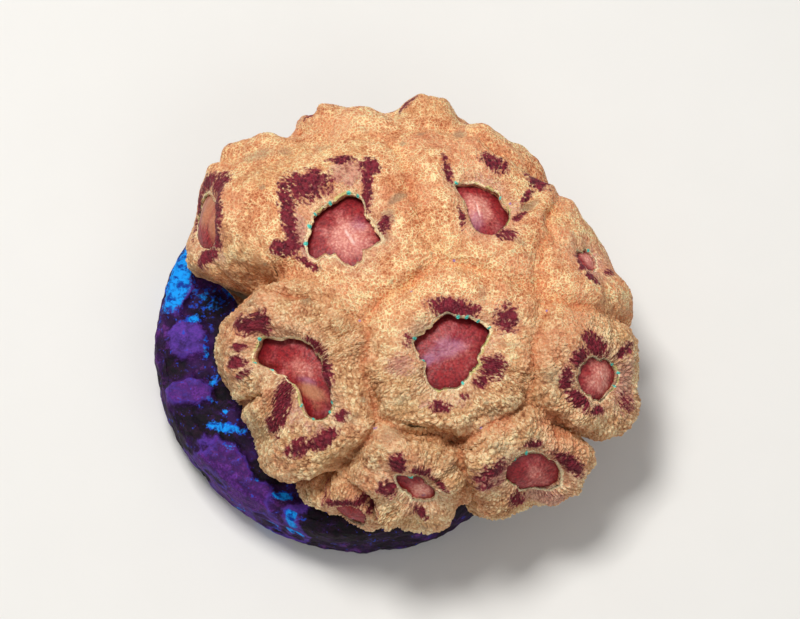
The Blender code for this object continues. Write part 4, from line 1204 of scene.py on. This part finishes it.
def crust_finish():
    """Coralline crust: mottled violet over a near-black ground, with azure growths that break into flecks."""
    r = Recipe("violet_crust")
    place = r.warped(1.4, 0.8)
    cloud = r.noise(3.0, 4.0, place)
    blotch = r.noise(1.1, 5.0, place)
    fleck = r.noise(0.5, 4.0, place)
    crumb = r.noise(0.18, 3.0)
    base = r.mix(r.ramp(cloud, 0.38, 0.64), colour(24, 7, 30), colour(62, 26, 88))
    base = r.mix(r.part(r.swing(blotch, crumb, 0.5), 0.46, 0.72, 0.8), base, colour(120, 56, 140))
    base = r.mix(r.part(fleck, 0.55, 0.75, 0.5), base, colour(70, 70, 190))
    base = r.mix(r.math("MULTIPLY", r.attribute("pits"), 0.5), base, colour(20, 6, 30))
    # Dark patches: the crust's bare dark ground, and painted shade at the front edge under the colony.
    dark = r.swing(r.swing(r.attribute("dark"), blotch, 1.6), crumb, 0.7)
    dark_tone = r.mix(r.ramp(fleck, 0.4, 0.7), colour(4, 2, 5), colour(34, 10, 28))
    base = r.mix(r.part(dark, 0.2, 0.7, 0.95), base, dark_tone)

    plate = r.swing(r.swing(r.attribute("plate"), blotch, 0.9), crumb, 0.5)
    violet = r.mix(r.ramp(blotch, 0.36, 0.62), colour(50, 14, 62), colour(94, 42, 138))
    violet = r.mix(r.part(fleck, 0.48, 0.66, 0.5), violet, colour(118, 52, 138))
    violet = r.mix(r.part(crumb, 0.55, 0.42, 0.5), violet, colour(36, 12, 54))
    # Painted highlight: the plates' rising edges are lightened to a bluish violet.
    plate_edge_highlight = r.math("MULTIPLY", r.ramp(plate, 0.15, 0.6), r.ramp(plate, 1.0, 0.7))
    violet = r.mix(r.math("MULTIPLY", plate_edge_highlight, 0.45), violet, colour(96, 70, 192))
    base = r.mix(r.part(plate, 0.0, 0.8, 0.9), base, violet)

    azure = r.swing(r.swing(r.attribute("azure"), blotch, 1.2), crumb, 0.5)
    flecks = r.swing(r.swing(r.attribute("azure"), fleck, 2.6), crumb, 2.0)
    flecks = r.swing(flecks, r.attribute("crumbs"), 0.5)
    base = r.mix(r.part(flecks, 0.48, 0.80, 0.8), base, colour(24, 76, 200))
    bright = r.ramp(r.add(r.math("MULTIPLY", crumb, 0.3), fleck, 0.7), 0.38, 0.58)
    blue = r.mix(bright, colour(6, 52, 150), colour(18, 156, 250))
    base = r.mix(r.ramp(azure, 0.42, 0.72), base, blue)
    normal = r.bump(crumb, 0.06, 0.8, r.bump(fleck, 0.16, 0.9))
    return r.finish(base, 0.7, normal, specular=0.15)


def limestone_finish():
    """Bare coral skeleton: chalky cream ribs, browner in the pores between them."""
    r = Recipe("chalky_skeleton")
    pore = r.ramp(r.cells(0.35, "F1", r.warped(0.8, 0.3)), 0.12, 0.42)
    base = r.mix(r.ramp(r.noise(2.0, 3.0), 0.35, 0.65), colour(176, 158, 132), colour(214, 202, 180))
    base = r.mix(r.math("MULTIPLY", r.attribute("pits"), 0.6), base, colour(118, 96, 78))
    base = r.mix(r.math("MULTIPLY", pore, 0.35), colour(128, 108, 88), base)
    normal = r.bump(r.math("ADD", pore, r.attribute("ribs")), 0.06, 0.8)
    return r.finish(base, 0.85, normal, specular=0.15)


def plain_finish(name, shade):
    """A matt finish of one pale colour with a faint grain, for the floor."""
    r = Recipe(name)
    tone = r.mix(r.noise(6.0, 2.0), colour(*shade), colour(*[v - 3 for v in shade]))
    return r.finish(tone, 0.9, r.bump(r.noise(0.8, 2.0), 0.01, 0.2))


# ---------------------------------------------------------------- camera, lights, floor
VIEW_TILT = 68.0  # the camera looks down at this angle
VIEW_DISTANCE = 280.0
VIEW_TARGET = (3.1, 1.98, DISC_TOP)
VIEW_WIDTH = 62.5  # width of the view at its target
SENSOR = 36.0
KEY_LAMP = ("key", (-50.0, 60.0, 260.0), 80.0, 0.60, (1.0, 0.98, 0.95))
FILL_LAMP = ("fill", (90.0, -170.0, 160.0), 160.0, 0.10, (1.0, 1.0, 1.0))
LIGHT_TONE = (0.30, 0.30, 0.30, 1.0)  # what lights the object from all round
SEEN_TONE = (0.86, 0.86, 0.86, 1.0)  # what shows behind the floor
FLOOR_SHADE = (232, 231, 228)
FLOOR_HALF = 2.0  # in metres


def add_camera():
    """The camera, set back from its target along the view's slope, with the lens that takes in its width."""
    data = bpy.data.cameras.new("camera")
    data.sensor_width = SENSOR
    data.lens = VIEW_DISTANCE * SENSOR / VIEW_WIDTH
    data.clip_start = 0.01
    camera = bpy.data.objects.new("camera", data)
    slope = math.radians(VIEW_TILT)
    back = Vector((0.0, -math.cos(slope), math.sin(slope)))
    camera.location = (Vector(VIEW_TARGET) + back * VIEW_DISTANCE) * MM
    camera.rotation_euler = (math.radians(90.0 - VIEW_TILT), 0.0, 0.0)
    bpy.context.scene.collection.objects.link(camera)
    bpy.context.scene.camera = camera


def add_lamp(name, place, size, power, tint):
    """A square soft lamp, in millimetres, aimed at the colony."""
    data = bpy.data.lights.new(name, "AREA")
    data.size = size * MM
    data.energy = power
    data.color = tint
    lamp = bpy.data.objects.new(name, data)
    lamp.location = Vector(place) * MM
    aim = (Vector((*DOME_CENTRE, DISC_TOP)) - Vector(place)).normalized()
    lamp.rotation_euler = aim.to_track_quat("-Z", "Y").to_euler()
    bpy.context.scene.collection.objects.link(lamp)


def add_world():
    """Even light from all round; the camera, gloss and glass see a pale tone behind the floor."""
    world = bpy.data.worlds.new("studio")
    world.use_nodes = True
    nodes, links = world.node_tree.nodes, world.node_tree.links
    path = nodes.new("ShaderNodeLightPath")
    seen = path.outputs["Is Camera Ray"]
    for ray in ("Is Glossy Ray", "Is Transmission Ray"):
        either = nodes.new("ShaderNodeMath")
        either.operation = "MAXIMUM"
        links.new(seen, either.inputs[0])
        links.new(path.outputs[ray], either.inputs[1])
        seen = either.outputs[0]
    tone = nodes.new("ShaderNodeMix")
    tone.data_type = "RGBA"
    tone.inputs["A"].default_value = LIGHT_TONE
    tone.inputs["B"].default_value = SEEN_TONE
    links.new(seen, tone.inputs["Factor"])
    links.new(tone.outputs["Result"], nodes["Background"].inputs["Color"])
    bpy.context.scene.world = world


def add_floor():
    """A plain pale floor under the disc."""
    mesh = bpy.data.meshes.new("floor")
    corners = [(x * FLOOR_HALF, y * FLOOR_HALF, 0.0) for x, y in ((-1, -1), (1, -1), (1, 1), (-1, 1))]
    mesh.from_pydata(corners, [], [(0, 1, 2, 3)])
    mesh.materials.append(plain_finish("pale_floor", FLOOR_SHADE))
    floor = bpy.data.objects.new("floor", mesh)
    bpy.context.scene.collection.objects.link(floor)


# ---------------------------------------------------------------- putting it together
# The polyps that take up most of the view, which get a finer grid; then each grid's columns and rows
LARGE_POLYPS = (
    "upper_left", "upper_right", "middle", "lower_left", "left_flank", "right_flank", "front_right",
)
LARGE_GRID = (540, 70)
SMALL_GRID = (340, 48)
MOUTH_GRID = (96, 18)
UNDERSIDE_GRID = (360, 10)
DISC_COLUMNS = 400


def main():
    """Make every piece, then the camera, light and floor about them."""
    add_camera()
    flesh, mouth, crust = flesh_finish(), mouth_finish(), crust_finish()
    for index, (name, *_) in enumerate(POLYPS):
        grid = LARGE_GRID if name in LARGE_POLYPS else SMALL_GRID
        add_piece(f"polyp_{name}", polyp_sheet(index, *grid), flesh, "coral_colony")
        add_piece(f"mouth_{name}", mouth_disc(index, *MOUTH_GRID), mouth, "coral_colony")
    underside = colony_underside(*UNDERSIDE_GRID)
    add_piece("colony_underside", underside, limestone_finish(), "coral_colony")
    add_piece("crusted_disc", crusted_disc(DISC_COLUMNS), crust, "frag_disc")
    add_world()
    add_lamp(*KEY_LAMP)
    add_lamp(*FILL_LAMP)
    add_floor()
    bpy.context.scene.view_settings.view_transform = "Standard"


main()
